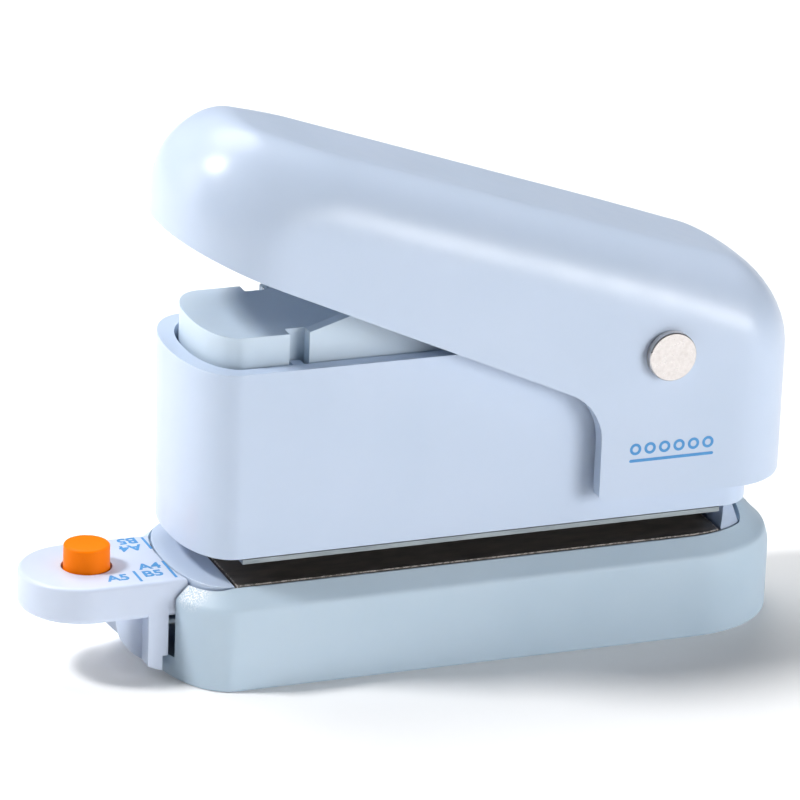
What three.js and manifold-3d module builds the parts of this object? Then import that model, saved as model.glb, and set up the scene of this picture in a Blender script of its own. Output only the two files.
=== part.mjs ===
// Six-hole loose-leaf paper punch, palm size. Millimetres, +Z up.
// Origin: middle of the chip tray's underside. -X is the nose and gauge end, +X the hinge end.
// The handle is drawn raised, its rest position. Every joint is at zero here.
import * as THREE from 'three';
import { mergeVertices } from 'three/addons/utils/BufferGeometryUtils.js';
import Module from 'manifold-3d';

const wasm = await Module();
wasm.setup();

// ---- driving dimensions -------------------------------------------------------------------

const GAP = 0.3;              // between pieces that touch
const PITCH = 9.5;            // loose-leaf hole pitch
const HOLE_COUNT = 6;
const FIRST_HOLE_X = -31;
const PUNCH_RADIUS = 2.95;
const BORE_RADIUS = 3.12;
const STROKE = 6.3;           // travel of the punches

// Base: chip tray with a shoulder that slopes in to the die plate.
const BASE_LEFT = -42.3;
const BASE_RIGHT = 42.3;
const BASE_HALF = 14.4;
const BASE_END_LEFT = 8.4;
const BASE_END_RIGHT = 15;
const CREASE_Z = 10.9;
const SHOULDER_SLOPE = 0.9;   // inset per millimetre of height
const LEAN_Z = 8.9;           // round the rear end the shoulder starts lower and leans in further
const CREASE_LEAN = 0.6;
const REAR_LEAN = 0.75;
const INNER_LEAN = 0.5;
const DECK_Z = 13.3;
const HUMP_Z = 16.4;
const TRAY_WALL = 1.6;
const TRAY_FLOOR = 1.4;
const RIM_HALF = 12.15;       // recess for the die plate in the tray's rim
const SLOT_REAR = 36.0;       // rear end of the paper slot's cut in the tray

// Die plate and the frame below it.
const PLATE_LEFT = -34.4;
const PLATE_RIGHT = 31.5;
const PLATE_HALF = 11.85;
const PLATE_THICK = 1.0;
const FRAME_HALF = 10;
const FRAME_WALL = 1.9;
const FRAME_BOTTOM = 2.0;
const FRAME_TOP = DECK_Z - PLATE_THICK - GAP;
const CHIP_HALF = 4.5;        // half-width of the chip opening
const POST_X = 31.9;          // rear end of the paper slot, where the post's ramp starts
const RAMP_TOP_X = 34.4;
const POST_BACK = 35.2;       // rear of the post's full-width part
const LEDGE_BOTTOM = 10.9;    // ledges that carry the die plate
const SCREW_BORE = 1.25;

// Head: open-topped housing over the paper slot.
const HEAD_LEFT = -39.8;
const HEAD_RIGHT = 37.7;
const HEAD_HALF = 11.62;
const HEAD_END = 6;
const HEAD_BOTTOM = 16.7;
const HEAD_TOP = 41.1;
const HEAD_WALL = 1.9;
const HEAD_FLOOR = 1.4;
const HEAD_DRAFT = 0.13;      // the head is wider at the top by this much, narrower at the bottom

// Hinge.
const HINGE = { x: 21.6, z: 39.4 };
const PIN_RADIUS = 2.4;
const PIN_HOLE = 2.75;
const PIN_HEAD_RADIUS = 3.2;
const PIN_PROUD = 1.2;
const EAR_RADIUS = 5;

// Handle cover. Its straight top slopes down to the hinge end.
const TILT = THREE.MathUtils.degToRad(18.5);
const COVER_HALF = 14.6;
const COVER_WALL = 2.0;
const COVER_TOP = 12.6;       // from the hinge axis to the top, square to it
const COVER_ROUND = 8;        // top edge radius
const COVER_NOSE = -40.5;
const COVER_BACK = 42.2;
const COVER_BACK_RADIUS = 11;
const COVER_NOSE_RADIUS = 13;
const COVER_END = 9;
const COVER_BOTTOM = 20.4;
const SKIRT_X = 12.9;         // front edge of the cheek round the hinge
const SKIRT_SLOPE = 0.4465;
const SKIRT_Z0 = 38.96;       // height of the sloping edge at x = 0

// Press block.
const BLOCK_TOP = 45.2;
const BLOCK_BOTTOM = 37.0;
const BLOCK_HALF = 9.3;
const BLOCK_LEFT = -37.4;
const PAD_RIGHT = -27.4;
const NOTCH_RIGHT = -24.8;
const BLOCK_RIGHT = 14.4;
const BEAM_HALF = 4.8;
const CHEEK_THICK = 1.7;
const CHANNEL_FLOOR = 41.5;
const CHEEK_TOP = 48.6;
const CHEEK_END = 11.5;
const PUNCH_TIP = 16.0;
const HOLDER_BOTTOM = 33.4;

// Lever inside the handle cover.
const LEVER_HALF = 6.7;
const LEVER_WALL = 1.5;
const PRESS_PIN_RADIUS = 1.6;
const PRESS_PIN = { x: HINGE.x - 25.2, z: BLOCK_TOP + 0.15 + PRESS_PIN_RADIUS };

// Gauge with its locating peg.
const TAB_CENTRE = -51.05;
const TAB_HALF = 7.65;
const TAB_TOP = 13.2;
const TAB_BOTTOM = 8.4;
const PEG_X = -50.2;
const PEG_RADIUS = 2.93;
const PEG_TOP = 16.25;
const PEG_FOOT = 10.5;
const PEG_FLANGE = { radius: 3.9, top: 11.4 };
const PEG_WELL = { radius: 4.5, top: 11.7 };
const PEG_PLATE = { radius: 5.2, bottom: 7.75, top: 8.45 };
const RAIL_TOP = 10.5;
const RAIL_BOTTOM = 8.6;
const RAIL_IN = 5.2;
const RAIL_END = -13;
const BLADE_RIGHT = -37.6;
const CROSS_LEFT = -44.5;     // cross plate under the tab, against the tray's end
const WEB = { x: -41, z: 8.0, radius: 7.2, half: 5.2 };

// ---- materials ----------------------------------------------------------------------------

function paint(color, roughness, metalness) {
  return new THREE.MeshStandardMaterial({ color, roughness, metalness });
}

const SHELL = paint(0xc5d4e7, 0.38, 0);
const TRAY = paint(0xacc3d1, 0.5, 0);
const BLOCK = paint(0xb0c3d4, 0.45, 0);
const INNER = paint(0xd8dde2, 0.5, 0);
const ORANGE = paint(0xfe9003, 0.35, 0);
const BLACK_STEEL = paint(0x232728, 0.45, 0.8);
const STEEL = paint(0xb4b8bb, 0.35, 0.9);
const NICKEL = paint(0xe7e1e1, 0.25, 0.95);
const SPRING = paint(0x9a9da0, 0.3, 0.9);

// ---- solids -------------------------------------------------------------------------------

function solid(geometry) {
  const bare = geometry.index ? geometry.toNonIndexed() : geometry.clone();
  bare.deleteAttribute('normal');
  bare.deleteAttribute('uv');
  const merged = mergeVertices(bare, 1e-4);
  const made = new wasm.Manifold(new wasm.Mesh({
    numProp: 3,
    vertProperties: new Float32Array(merged.attributes.position.array),
    triVerts: new Uint32Array(merged.index.array),
  }));
  return made;
}

function join(...parts) {
  return parts.reduce((whole, part) => whole.add(part));
}

function cut(whole, ...tools) {
  return tools.reduce((left, tool) => left.subtract(tool), whole);
}

function box(x0, x1, y0, y1, z0, z1) {
  const geometry = new THREE.BoxGeometry(x1 - x0, y1 - y0, z1 - z0);
  geometry.translate((x0 + x1) / 2, (y0 + y1) / 2, (z0 + z1) / 2);
  return solid(geometry);
}

// A box on each side of the middle plane, from |y| = y0 to y1.
function pair(x0, x1, y0, y1, z0, z1) {
  return join(box(x0, x1, y0, y1, z0, z1), box(x0, x1, -y1, -y0, z0, z1));
}

function rodZ(x, y, radius, z0, z1, sides = 20) {
  const geometry = new THREE.CylinderGeometry(radius, radius, z1 - z0, sides);
  geometry.rotateX(Math.PI / 2);
  geometry.translate(x, y, (z0 + z1) / 2);
  return solid(geometry);
}

function rodY(x, z, radius, y0, y1, sides = 24) {
  const geometry = new THREE.CylinderGeometry(radius, radius, y1 - y0, sides);
  geometry.translate(x, (y0 + y1) / 2, z);
  return solid(geometry);
}

// Turned piece about a vertical axis from [radius, z] pairs.
function turned(x, y, profile, sides = 24) {
  const geometry = new THREE.LatheGeometry(profile.map(([r, z]) => new THREE.Vector2(r, z)), sides);
  geometry.rotateX(Math.PI / 2);
  geometry.translate(x, y, 0);
  return solid(geometry);
}

// Plan outline [x, y] raised from z0 to z1.
function raised(outline, z0, z1) {
  const shape = new THREE.Shape(outline.map(([x, y]) => new THREE.Vector2(x, y)));
  const geometry = new THREE.ExtrudeGeometry(shape, { depth: z1 - z0, bevelEnabled: false });
  geometry.translate(0, 0, z0);
  return solid(geometry);
}

// Side outline [x, z] spread from y0 to y1, with an optional rounded edge.
function spread(outline, y0, y1, round = 0, steps = 4) {
  const shape = new THREE.Shape(outline.map(([x, z]) => new THREE.Vector2(x, z)));
  const geometry = new THREE.ExtrudeGeometry(shape, {
    depth: y1 - y0 - 2 * round,
    bevelEnabled: round > 0,
    bevelThickness: round,
    bevelSize: round,
    bevelOffset: -round,
    bevelSegments: steps,
  });
  geometry.rotateX(Math.PI / 2);
  geometry.translate(0, y1 - round, 0);
  return solid(geometry);
}

// Long outline with rounded ends: straight sides and a superellipse at each end.
function loaf({ left, right, half, endLeft, endRight, power = 2.2, steps = 7 }) {
  const end = (tip, depth, side) => {
    const points = [];
    for (let i = -steps; i <= steps; i += 1) {
      const angle = (i / steps) * Math.PI / 2;
      const across = half * Math.sign(angle) * Math.abs(Math.sin(angle)) ** (2 / power);
      const along = depth * (1 - Math.cos(angle) ** (2 / power));
      points.push([tip - side * along, side * across]);
    }
    return points;
  };
  return [...end(right, endRight, 1), ...end(left, endLeft, -1)];
}

// Closed skin over a stack of convex outlines of equal length, each [outline, z].
function stack(layers) {
  const count = layers[0][0].length;
  const points = layers.flatMap(([outline, z]) => outline.map(([x, y]) => [x, y, z]));
  const faces = [];
  for (let layer = 0; layer + 1 < layers.length; layer += 1) {
    for (let i = 0; i < count; i += 1) {
      const a = layer * count + i;
      const b = layer * count + (i + 1) % count;
      faces.push([a, b, b + count], [a, b + count, a + count]);
    }
  }
  const lid = (layers.length - 1) * count;
  for (let i = 1; i + 1 < count; i += 1) {
    faces.push([0, i + 1, i], [lid, lid + i, lid + i + 1]);
  }
  const geometry = new THREE.BufferGeometry();
  const corners = faces.flat().flatMap((index) => points[index]);
  geometry.setAttribute('position', new THREE.Float32BufferAttribute(corners, 3));
  return solid(geometry);
}

const assembly = new THREE.Group();

function add(name, shape, material) {
  const mesh = shape.getMesh();
  const geometry = new THREE.BufferGeometry();
  geometry.setAttribute('position', new THREE.Float32BufferAttribute(mesh.vertProperties, 3));
  geometry.setIndex(new THREE.Uint32BufferAttribute(mesh.triVerts, 1));
  geometry.computeVertexNormals();
  const piece = new THREE.Mesh(geometry, material);
  piece.name = name;
  assembly.add(piece);
}

// ---- shared outlines ----------------------------------------------------------------------

const holeXs = Array.from({ length: HOLE_COUNT }, (_, i) => FIRST_HOLE_X + i * PITCH);
const springXs = [holeXs[0] + PITCH / 2, holeXs[4] + PITCH / 2];
const headScrewPlaces = [[33.1, -2.9], [33.1, 2.9]];
const guideScrewPlaces = [[25.5, -5], [25.5, 5]];

function baseOutline(inset, lean = 0) {
  return loaf({
    left: BASE_LEFT + inset,
    right: BASE_RIGHT - inset - lean,
    half: BASE_HALF - inset,
    endLeft: BASE_END_LEFT - inset / 2,
    endRight: BASE_END_RIGHT - inset,
    power: 2.1,
  });
}

function headOutline(grow) {
  return loaf({
    left: HEAD_LEFT - grow,
    right: HEAD_RIGHT + grow,
    half: HEAD_HALF + grow,
    endLeft: HEAD_END + grow / 2,
    endRight: HEAD_END + 2 + grow / 2,
  });
}

// ---- chip tray ----------------------------------------------------------------------------

const HUMP_INSET = (HUMP_Z - CREASE_Z) * SHOULDER_SLOPE;
const HUMP_WALL = 1.25;

// What lies inside the rim's inset round the rear, and everything ahead of it.
function behindRim(inset) {
  return join(raised(baseOutline(inset, INNER_LEAN), 0, 20), box(-60, 0, -20, 20, 0, 20));
}

function chipTray() {
  const bottomRound = 0.4;
  const innerRound = 1.2;
  const outside = stack([
    [baseOutline(bottomRound), 0],
    [baseOutline(0), bottomRound],
    [baseOutline(0), LEAN_Z],
    [baseOutline(0, CREASE_LEAN), CREASE_Z],
    [baseOutline(HUMP_INSET, REAR_LEAN), HUMP_Z],
  ]);
  const inside = stack([
    [baseOutline(TRAY_WALL + innerRound), TRAY_FLOOR],
    [baseOutline(TRAY_WALL), TRAY_FLOOR + innerRound],
    [baseOutline(TRAY_WALL, INNER_LEAN), CREASE_Z - 0.9],
    [baseOutline(HUMP_INSET + HUMP_WALL, INNER_LEAN), HUMP_Z + 0.2],
  ]);
  const slotFloor = DECK_Z - 0.15;
  const slotRound = 0.8;
  const paperSlot = spread([
    [-60, slotFloor],
    [SLOT_REAR - slotRound, slotFloor],
    [SLOT_REAR, slotFloor + slotRound],
    [SLOT_REAR - 0.4, HUMP_Z],
    [SLOT_REAR - 0.4, 20],
    [-60, 20],
  ], -20, 20);
  const recess = raised(loaf({
    left: HEAD_LEFT - 0.8, right: POST_BACK + GAP, half: RIM_HALF, endLeft: HEAD_END, endRight: 0.5,
  }), FRAME_TOP - GAP, 20);
  const plateRecess = recess.intersect(behindRim(BASE_HALF - RIM_HALF));
  const notchHalf = TAB_HALF + 0.6;
  const gaugeNotch = box(-60, -34, -notchHalf, notchHalf, 2.9, 20);
  add('chip_tray', cut(outside, inside, paperSlot, plateRecess, gaugeNotch), TRAY);
}

// ---- base frame, die plate and paper stop --------------------------------------------------

// The frame's rear end passes through the tray's raised rear when the tray is pulled down.
function frameRear() {
  const inside = baseOutline(HUMP_INSET + HUMP_WALL + GAP, INNER_LEAN);
  const bottomBlock = cut(raised(inside, FRAME_BOTTOM, HUMP_Z), box(-80, POST_X - 1.8, -20, 20, 0, 20));
  const aboveDeck = box(0, POST_X, -20, 20, FRAME_TOP, 20);
  return cut(bottomBlock, aboveDeck);
}

// Ramp that closes the paper slot; its ends are flush with the tray's shoulder.
function postFace() {
  const side = [
    [POST_X, FRAME_TOP],
    [POST_BACK, FRAME_TOP],
    [POST_BACK, HUMP_Z],
    [RAMP_TOP_X, HUMP_Z],
    [POST_X, DECK_Z],
  ];
  const flush = HUMP_INSET + 0.35;
  const shoulder = stack([
    [baseOutline(flush - (HUMP_Z - FRAME_TOP) * SHOULDER_SLOPE, REAR_LEAN), FRAME_TOP - 0.1],
    [baseOutline(flush, REAR_LEAN), HUMP_Z + 0.1],
  ]);
  const face = spread(side, -PLATE_HALF, PLATE_HALF);
  return face.intersect(shoulder).intersect(behindRim(BASE_HALF - PLATE_HALF));
}

function deckOutline(half) {
  const trim = PLATE_HALF - half;
  return loaf({ left: HEAD_LEFT - 0.4 + trim, right: 0, half, endLeft: HEAD_END, endRight: 0.5 });
}

function deckEnd() {
  const top = raised(deckOutline(PLATE_HALF), FRAME_TOP - 0.05, TAB_TOP);
  const under = raised(deckOutline(FRAME_HALF), LEDGE_BOTTOM, FRAME_TOP);
  return cut(join(top, under), box(PLATE_LEFT - GAP, 5, -20, 20, 0, 20));
}

function baseFrame() {
  const wallIn = FRAME_HALF - FRAME_WALL;
  const sideWalls = pair(-36, POST_X, wallIn, FRAME_HALF, FRAME_BOTTOM, FRAME_TOP);
  const ledges = pair(PLATE_LEFT - 1, POST_X, CHIP_HALF, FRAME_HALF, LEDGE_BOTTOM, FRAME_TOP);
  const rearTie = box(POST_X - 1.8, POST_X + 0.8, -FRAME_HALF, FRAME_HALF, FRAME_BOTTOM, FRAME_TOP);
  const railLips = pair(-36, -10, RAIL_IN + 0.4, FRAME_HALF, 6.9, RAIL_BOTTOM - GAP);
  const screwBores = headScrewPlaces.map(([x, y]) => rodZ(x, y, SCREW_BORE, 0, 20));
  const headRecess = headScrewPlaces.map(([x, y]) => rodZ(x, y, 1.95, 0, 6));
  const frame = join(sideWalls, ledges, rearTie, railLips, frameRear(), postFace(), deckEnd());
  add('base_frame', cut(frame, ...screwBores, ...headRecess), SHELL);
}

function diePlate() {
  const plate = box(PLATE_LEFT, PLATE_RIGHT, -PLATE_HALF, PLATE_HALF, DECK_Z - PLATE_THICK, DECK_Z);
  const holes = holeXs.map((x) => rodZ(x, 0, BORE_RADIUS, 0, 20));
  const trimmed = plate.intersect(behindRim(BASE_HALF - PLATE_HALF));
  add('die_plate', cut(trimmed, ...holes), BLACK_STEEL);
}

function paperStop() {
  const stop = box(-32, 30, 6.3, 7.7, DECK_Z + GAP, 15.5);
  add('paper_stop', stop, STEEL);
}

// ---- head ---------------------------------------------------------------------------------

function headHousing() {
  const shell = stack([[headOutline(-HEAD_DRAFT), HEAD_BOTTOM], [headOutline(HEAD_DRAFT), HEAD_TOP]]);
  const hollow = raised(headOutline(-HEAD_WALL), HEAD_BOTTOM + HEAD_FLOOR, HEAD_TOP + 10);
  const floorOpening = box(-34.6, 22.2, -6.6, 6.6, 0, 30);
  const ear = join(
    rodY(HINGE.x, HINGE.z, EAR_RADIUS, -HEAD_HALF, HEAD_HALF),
    box(HINGE.x - EAR_RADIUS, HINGE.x + EAR_RADIUS, -HEAD_HALF, HEAD_HALF, 36, HINGE.z),
  );
  const earHollow = box(0, 30, -HEAD_HALF + HEAD_WALL, HEAD_HALF - HEAD_WALL, 30, 60);
  const ribs = pair(-26.8, -25.4, 7.6, HEAD_HALF - 0.5, HEAD_BOTTOM, HEAD_TOP);
  const bores = [...headScrewPlaces, ...guideScrewPlaces].map(([x, y]) => rodZ(x, y, 1.5, 0, 30));
  const housing = join(cut(shell, hollow, floorOpening), cut(ear, earHollow), ribs);
  add('head_housing', cut(housing, rodY(HINGE.x, HINGE.z, PIN_HOLE, -20, 20), ...bores), SHELL);
}

function guidePlate() {
  const plate = box(-33.5, POST_X - 0.5, -11.2, 11.2, HEAD_BOTTOM - 0.9, HEAD_BOTTOM - GAP);
  const holes = holeXs.map((x) => rodZ(x, 0, BORE_RADIUS, 0, 20));
  const screwHoles = guideScrewPlaces.map(([x, y]) => rodZ(x, y, 2.4, 0, 20));
  add('guide_plate', cut(plate, ...holes, ...screwHoles), STEEL);
}

function punchGuide() {
  const core = box(-34.2, 21.8, -6.2, 6.2, HEAD_BOTTOM + 0.05, 22);
  const flange = box(-34.2, 12, -9.2, 9.2, HEAD_BOTTOM + HEAD_FLOOR + GAP, 20);
  const ribRoom = pair(-27.4, -24.8, 7.2, 12, 0, 30);
  const bores = holeXs.map((x) => rodZ(x, 0, BORE_RADIUS, 0, 30));
  add('punch_guide', cut(join(core, flange), ribRoom, ...bores), INNER);
}

// Folded sheet that carries the hinge pin inside the head.
function headBracket() {
  const floorZ = HEAD_BOTTOM + HEAD_FLOOR + GAP;
  const half = 9.4;
  const sheet = 1.2;
  const front = 15.3;
  const back = 33.5;
  const footFront = 23;
  const shoulderZ = 34;
  const top = 43;
  const side = [
    [front, shoulderZ], [front, top], [28, top], [back, shoulderZ], [back, floorZ], [footFront, floorZ],
    [footFront, 30],
  ];
  const block = spread(side, -half, half);
  const inside = box(0, 50, sheet - half, half - sheet, floorZ + sheet, 60);
  const backRoom = cut(box(30, 40, -12, 12, 0, 60), raised(headOutline(-HEAD_WALL - GAP), 0, 60));
  const bores = [...headScrewPlaces, ...guideScrewPlaces].map(([x, y]) => rodZ(x, y, 1.5, 0, 30));
  const pinHole = rodY(HINGE.x, HINGE.z, PIN_HOLE, -20, 20);
  add('head_bracket', cut(block, inside, backRoom, pinHole, ...bores), STEEL);
}

// Slotted screw driven upwards from below.
function screwUp(name, [x, y], { head, tall, radius, shank, tip }) {
  const cap = rodZ(x, y, radius, head, head + tall, 16);
  const thread = rodZ(x, y, shank, head + tall / 2, tip, 12);
  const slot = box(x - 1.2, x + 1.2, y - 0.25, y + 0.25, head - 1, head + tall / 2);
  add(name, cut(join(cap, thread), slot), STEEL);
}

function headScrews() {
  const long = { head: 4.3, tall: 1.4, radius: 1.7, shank: 1.0, tip: 22.5 };
  const short = { head: HEAD_BOTTOM - 0.85, tall: 0.6, radius: 2.0, shank: 1.0, tip: 21.5 };
  headScrewPlaces.forEach((place, i) => screwUp(`head_screw_${i + 1}`, place, long));
  guideScrewPlaces.forEach((place, i) => screwUp(`guide_screw_${i + 1}`, place, short));
}

// ---- hinge --------------------------------------------------------------------------------

function hingePin() {
  const front = -COVER_HALF - PIN_PROUD;
  const head = rodY(HINGE.x, HINGE.z, PIN_HEAD_RADIUS, front, front + PIN_PROUD - 0.1, 28);
  const shank = rodY(HINGE.x, HINGE.z, PIN_RADIUS, front + 0.5, COVER_HALF + PIN_PROUD - 0.4);
  add('hinge_pin', join(head, shank), NICKEL);
  const outer = rodY(HINGE.x, HINGE.z, PIN_HEAD_RADIUS, COVER_HALF + 0.1, COVER_HALF + PIN_PROUD, 28);
  const bore = rodY(HINGE.x, HINGE.z, PIN_RADIUS + 0.15, COVER_HALF - 1, COVER_HALF + PIN_PROUD + 1);
  add('pin_cap', cut(outer, bore), NICKEL);
}

// ---- handle -------------------------------------------------------------------------------

// Point in the handle's own axes: u towards the nose, w square to the straight top.
function fromHinge(u, w) {
  return [
    HINGE.x - u * Math.cos(TILT) + w * Math.sin(TILT),
    HINGE.z + u * Math.sin(TILT) + w * Math.cos(TILT),
  ];
}

function arc(cx, cz, radius, from, to, steps) {
  const points = [];
  for (let i = 0; i <= steps; i += 1) {
    const angle = THREE.MathUtils.degToRad(from + (to - from) * i / steps);
    points.push([cx + radius * Math.cos(angle), cz + radius * Math.sin(angle)]);
  }
  return points;
}

// Side outline of the cover, closed well below its edge; inset makes the inner one.
function coverSide(inset) {
  const tiltDegrees = THREE.MathUtils.radToDeg(TILT);
  const back = COVER_BACK - inset;
  const top = COVER_TOP - inset;
  const radius = COVER_BACK_RADIUS - inset;
  const centreX = back - radius;
  const onTop = (x) => HINGE.z + top / Math.cos(TILT) - (x - HINGE.x) * Math.tan(TILT);
  const centreZ = onTop(centreX) - radius / Math.cos(TILT);
  const noseRadius = COVER_NOSE_RADIUS - inset;
  const nose = COVER_NOSE + inset;
  const noseX = nose - 1.2 + noseRadius;
  const noseZ = onTop(noseX) - noseRadius / Math.cos(TILT);
  return [
    [back, 0],
    ...arc(centreX, centreZ, radius, 0, 90 - tiltDegrees, 6),
    ...arc(noseX, noseZ, noseRadius, 90 - tiltDegrees, 180, 7),
    [nose, 0],
  ];
}

function coverSolid(inset) {
  const side = coverSide(inset).map(([x, z]) => [x, z === 0 ? -20 : z]);
  const half = COVER_HALF - inset;
  const body = spread(side, -half, half, COVER_ROUND - inset);
  const plan = loaf({
    left: COVER_NOSE + inset - 1.5,
    right: COVER_BACK - inset,
    half,
    endLeft: COVER_END - inset / 2,
    endRight: COVER_END + 2 - inset / 2,
    power: 2.4,
  });
  return body.intersect(raised(plan, 0, 90));
}

// Everything under the cover's lower edge.
function underCover() {
  const edgeZ = (x) => SKIRT_Z0 - SKIRT_SLOPE * x;
  const radius = 7.5;
  const slope = THREE.MathUtils.radToDeg(Math.atan(SKIRT_SLOPE));
  const cornerX = SKIRT_X - radius;
  const cornerZ = edgeZ(cornerX) - radius / Math.cos(Math.atan(SKIRT_SLOPE));
  return spread([
    [-80, edgeZ(-80)],
    [-80, -30],
    [80, -30],
    [80, COVER_BOTTOM],
    [SKIRT_X + 0.8, COVER_BOTTOM],
    [SKIRT_X, COVER_BOTTOM + 0.8],
    ...arc(cornerX, cornerZ, radius, 0, 90 - slope, 5),
  ], -30, 30);
}

const leverScrewUs = [9, 17];
const LEVER_TOP = 9.2;        // lever bridge, measured like COVER_TOP

function turnedToTop(u, radius, w0, w1, sides) {
  const geometry = new THREE.CylinderGeometry(radius, radius, w1 - w0, sides);
  geometry.rotateX(Math.PI / 2);
  geometry.rotateY(TILT);
  const [x, z] = fromHinge(u, (w0 + w1) / 2);
  geometry.translate(x, 0, z);
  return solid(geometry);
}

function handleCover() {
  const skin = cut(coverSolid(0), coverSolid(COVER_WALL), underCover());
  const bosses = leverScrewUs.map((u) => turnedToTop(u, 2.4, LEVER_TOP + GAP, COVER_TOP - 1, 14));
  const bossHoles = leverScrewUs.map((u) => turnedToTop(u, 1.2, LEVER_TOP - 1, COVER_TOP - 1.2, 12));
  const pinHole = rodY(HINGE.x, HINGE.z, PIN_HOLE, -20, 20);
  add('handle_cover', cut(join(skin, ...bosses), pinHole, ...bossHoles), SHELL);
}

function leverSide() {
  const tip = arc(PRESS_PIN.x, PRESS_PIN.z, PRESS_PIN_RADIUS * 2, 100, 300, 8);
  const hub = arc(HINGE.x, HINGE.z, 4.2, 180, 360, 8);
  return [
    ...tip,
    [6, BLOCK_TOP + 0.6],
    [15.6, BLOCK_TOP + 0.4],
    ...hub,
    fromHinge(-3, LEVER_TOP - 2),
    fromHinge(0, LEVER_TOP),
    fromHinge(20, LEVER_TOP),
  ];
}

function pressLever() {
  const block = spread(leverSide(), -LEVER_HALF, LEVER_HALF);
  const inner = LEVER_HALF - LEVER_WALL;
  const bridgeUnder = LEVER_TOP - LEVER_WALL;
  const aboveBridge = [
    fromHinge(-20, LEVER_TOP + 20),
    fromHinge(60, LEVER_TOP + 20),
    fromHinge(60, bridgeUnder),
    fromHinge(-20, bridgeUnder),
  ];
  const inside = cut(box(-30, 60, -inner, inner, 0, 80), spread(aboveBridge, -inner - 1, inner + 1));
  const holes = [
    rodY(HINGE.x, HINGE.z, PIN_HOLE, -20, 20),
    rodY(PRESS_PIN.x, PRESS_PIN.z, PRESS_PIN_RADIUS + 0.25, -20, 20, 16),
    ...leverScrewUs.map((u) => turnedToTop(u, 1.5, LEVER_TOP - 3, LEVER_TOP + 1, 12)),
  ];
  add('press_lever', cut(block, inside, ...holes), STEEL);
  add('press_pin', rodY(PRESS_PIN.x, PRESS_PIN.z, PRESS_PIN_RADIUS, -7.2, 7.2, 16), STEEL);
}

function leverScrews() {
  leverScrewUs.forEach((u, i) => {
    const under = LEVER_TOP - 1.5 - GAP;
    const head = turnedToTop(u, 2.1, under - 1.3, under, 14);
    const shank = turnedToTop(u, 0.95, under - 0.5, LEVER_TOP + 1.8, 10);
    add(`lever_screw_${i + 1}`, join(head, shank), STEEL);
  });
}

// ---- press block, punches and springs ------------------------------------------------------

function blockOutline(inset) {
  return loaf({
    left: BLOCK_LEFT + inset,
    right: BLOCK_RIGHT,
    half: BLOCK_HALF - inset,
    endLeft: 4.6 - inset / 2,
    endRight: 0.5,
  });
}

function pressBlock() {
  const ease = 0.4;
  const whole = raised(blockOutline(0), BLOCK_BOTTOM, BLOCK_TOP - ease - 0.1);
  const lid = raised(blockOutline(ease), BLOCK_TOP - ease - 0.2, BLOCK_TOP);
  const notch = pair(PAD_RIGHT, NOTCH_RIGHT, 7.3, 20, 0, 60);
  const cheekIn = BLOCK_HALF - CHEEK_THICK;
  const topBeside = pair(NOTCH_RIGHT, 40, cheekIn, 20, BLOCK_TOP - 1.5, 60);
  const channel = pair(-10, 40, BEAM_HALF, cheekIn, CHANNEL_FLOOR, 60);
  const cheekSide = [
    [NOTCH_RIGHT, 40],
    [CHEEK_END, 40],
    [CHEEK_END, 45],
    [CHEEK_END - 3, CHEEK_TOP],
    [-13, CHEEK_TOP],
    [NOTCH_RIGHT, BLOCK_TOP],
  ];
  const cheeks = cut(spread(cheekSide, -BLOCK_HALF, BLOCK_HALF), box(-40, 40, -cheekIn, cheekIn, 0, 80));
  const body = cut(join(whole, lid), notch, topBeside, channel);
  add('press_block', join(body, cheeks), BLOCK);
}

function punchHolder() {
  const bar = box(-35.4, 20.4, -4.4, 4.4, HOLDER_BOTTOM, BLOCK_BOTTOM - GAP);
  const bores = holeXs.map((x) => rodZ(x, 0, BORE_RADIUS, 0, 60));
  add('punch_holder', cut(bar, ...bores), STEEL);
}

// Hollow-ground cutter: two points at the edge with a shallow valley between them.
function punch(x, index) {
  const shaft = rodZ(x, 0, PUNCH_RADIUS, PUNCH_TIP, BLOCK_BOTTOM - GAP);
  const low = PUNCH_TIP - 1;
  const rim = PUNCH_TIP - 0.4;
  const section = [[x - 4, low], [x + 4, low], [x + 4, rim], [x, PUNCH_TIP + 1], [x - 4, rim]];
  const valley = spread(section, -4, 4);
  add(`punch_${index + 1}`, cut(shaft, valley), NICKEL);
}

class Helix extends THREE.Curve {
  constructor(x, y, radius, topRadius, z0, z1, turns) {
    super();
    Object.assign(this, { x, y, radius, topRadius, z0, z1, turns });
  }

  getPoint(t, target = new THREE.Vector3()) {
    const angle = t * this.turns * 2 * Math.PI;
    const radius = this.radius + (this.topRadius - this.radius) * t;
    return target.set(
      this.x + radius * Math.cos(angle),
      this.y + radius * Math.sin(angle),
      this.z0 + (this.z1 - this.z0) * t,
    );
  }
}

function coil(name, x, y, { radius, topRadius = radius, wire, z0, z1, turns }) {
  const section = new THREE.Shape();
  for (let i = 0; i < 5; i += 1) {
    const angle = i * 2 * Math.PI / 5;
    const place = [wire * Math.cos(angle), wire * Math.sin(angle)];
    if (i === 0) section.moveTo(...place);
    else section.lineTo(...place);
  }
  section.closePath();
  const geometry = new THREE.ExtrudeGeometry(section, {
    steps: turns * 9,
    extrudePath: new Helix(x, y, radius, topRadius, z0 + wire, z1 - wire, turns),
  });
  add(name, solid(geometry), SPRING);
}

function returnSprings() {
  const shape = { radius: 1.15, wire: 0.28, z0: 22.3, z1: HOLDER_BOTTOM - GAP, turns: 6 };
  springXs.forEach((x, i) => coil(`return_spring_${i + 1}`, x, 0, shape));
}

// ---- gauge, peg and its spring -------------------------------------------------------------

// The web and the cross plate under the tab share one rounded side outline.
function webPart(x0, x1, half, z1) {
  return rodY(WEB.x, WEB.z, WEB.radius, -half, half, 40).intersect(box(x0, x1, -half, half, 0, z1));
}

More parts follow.
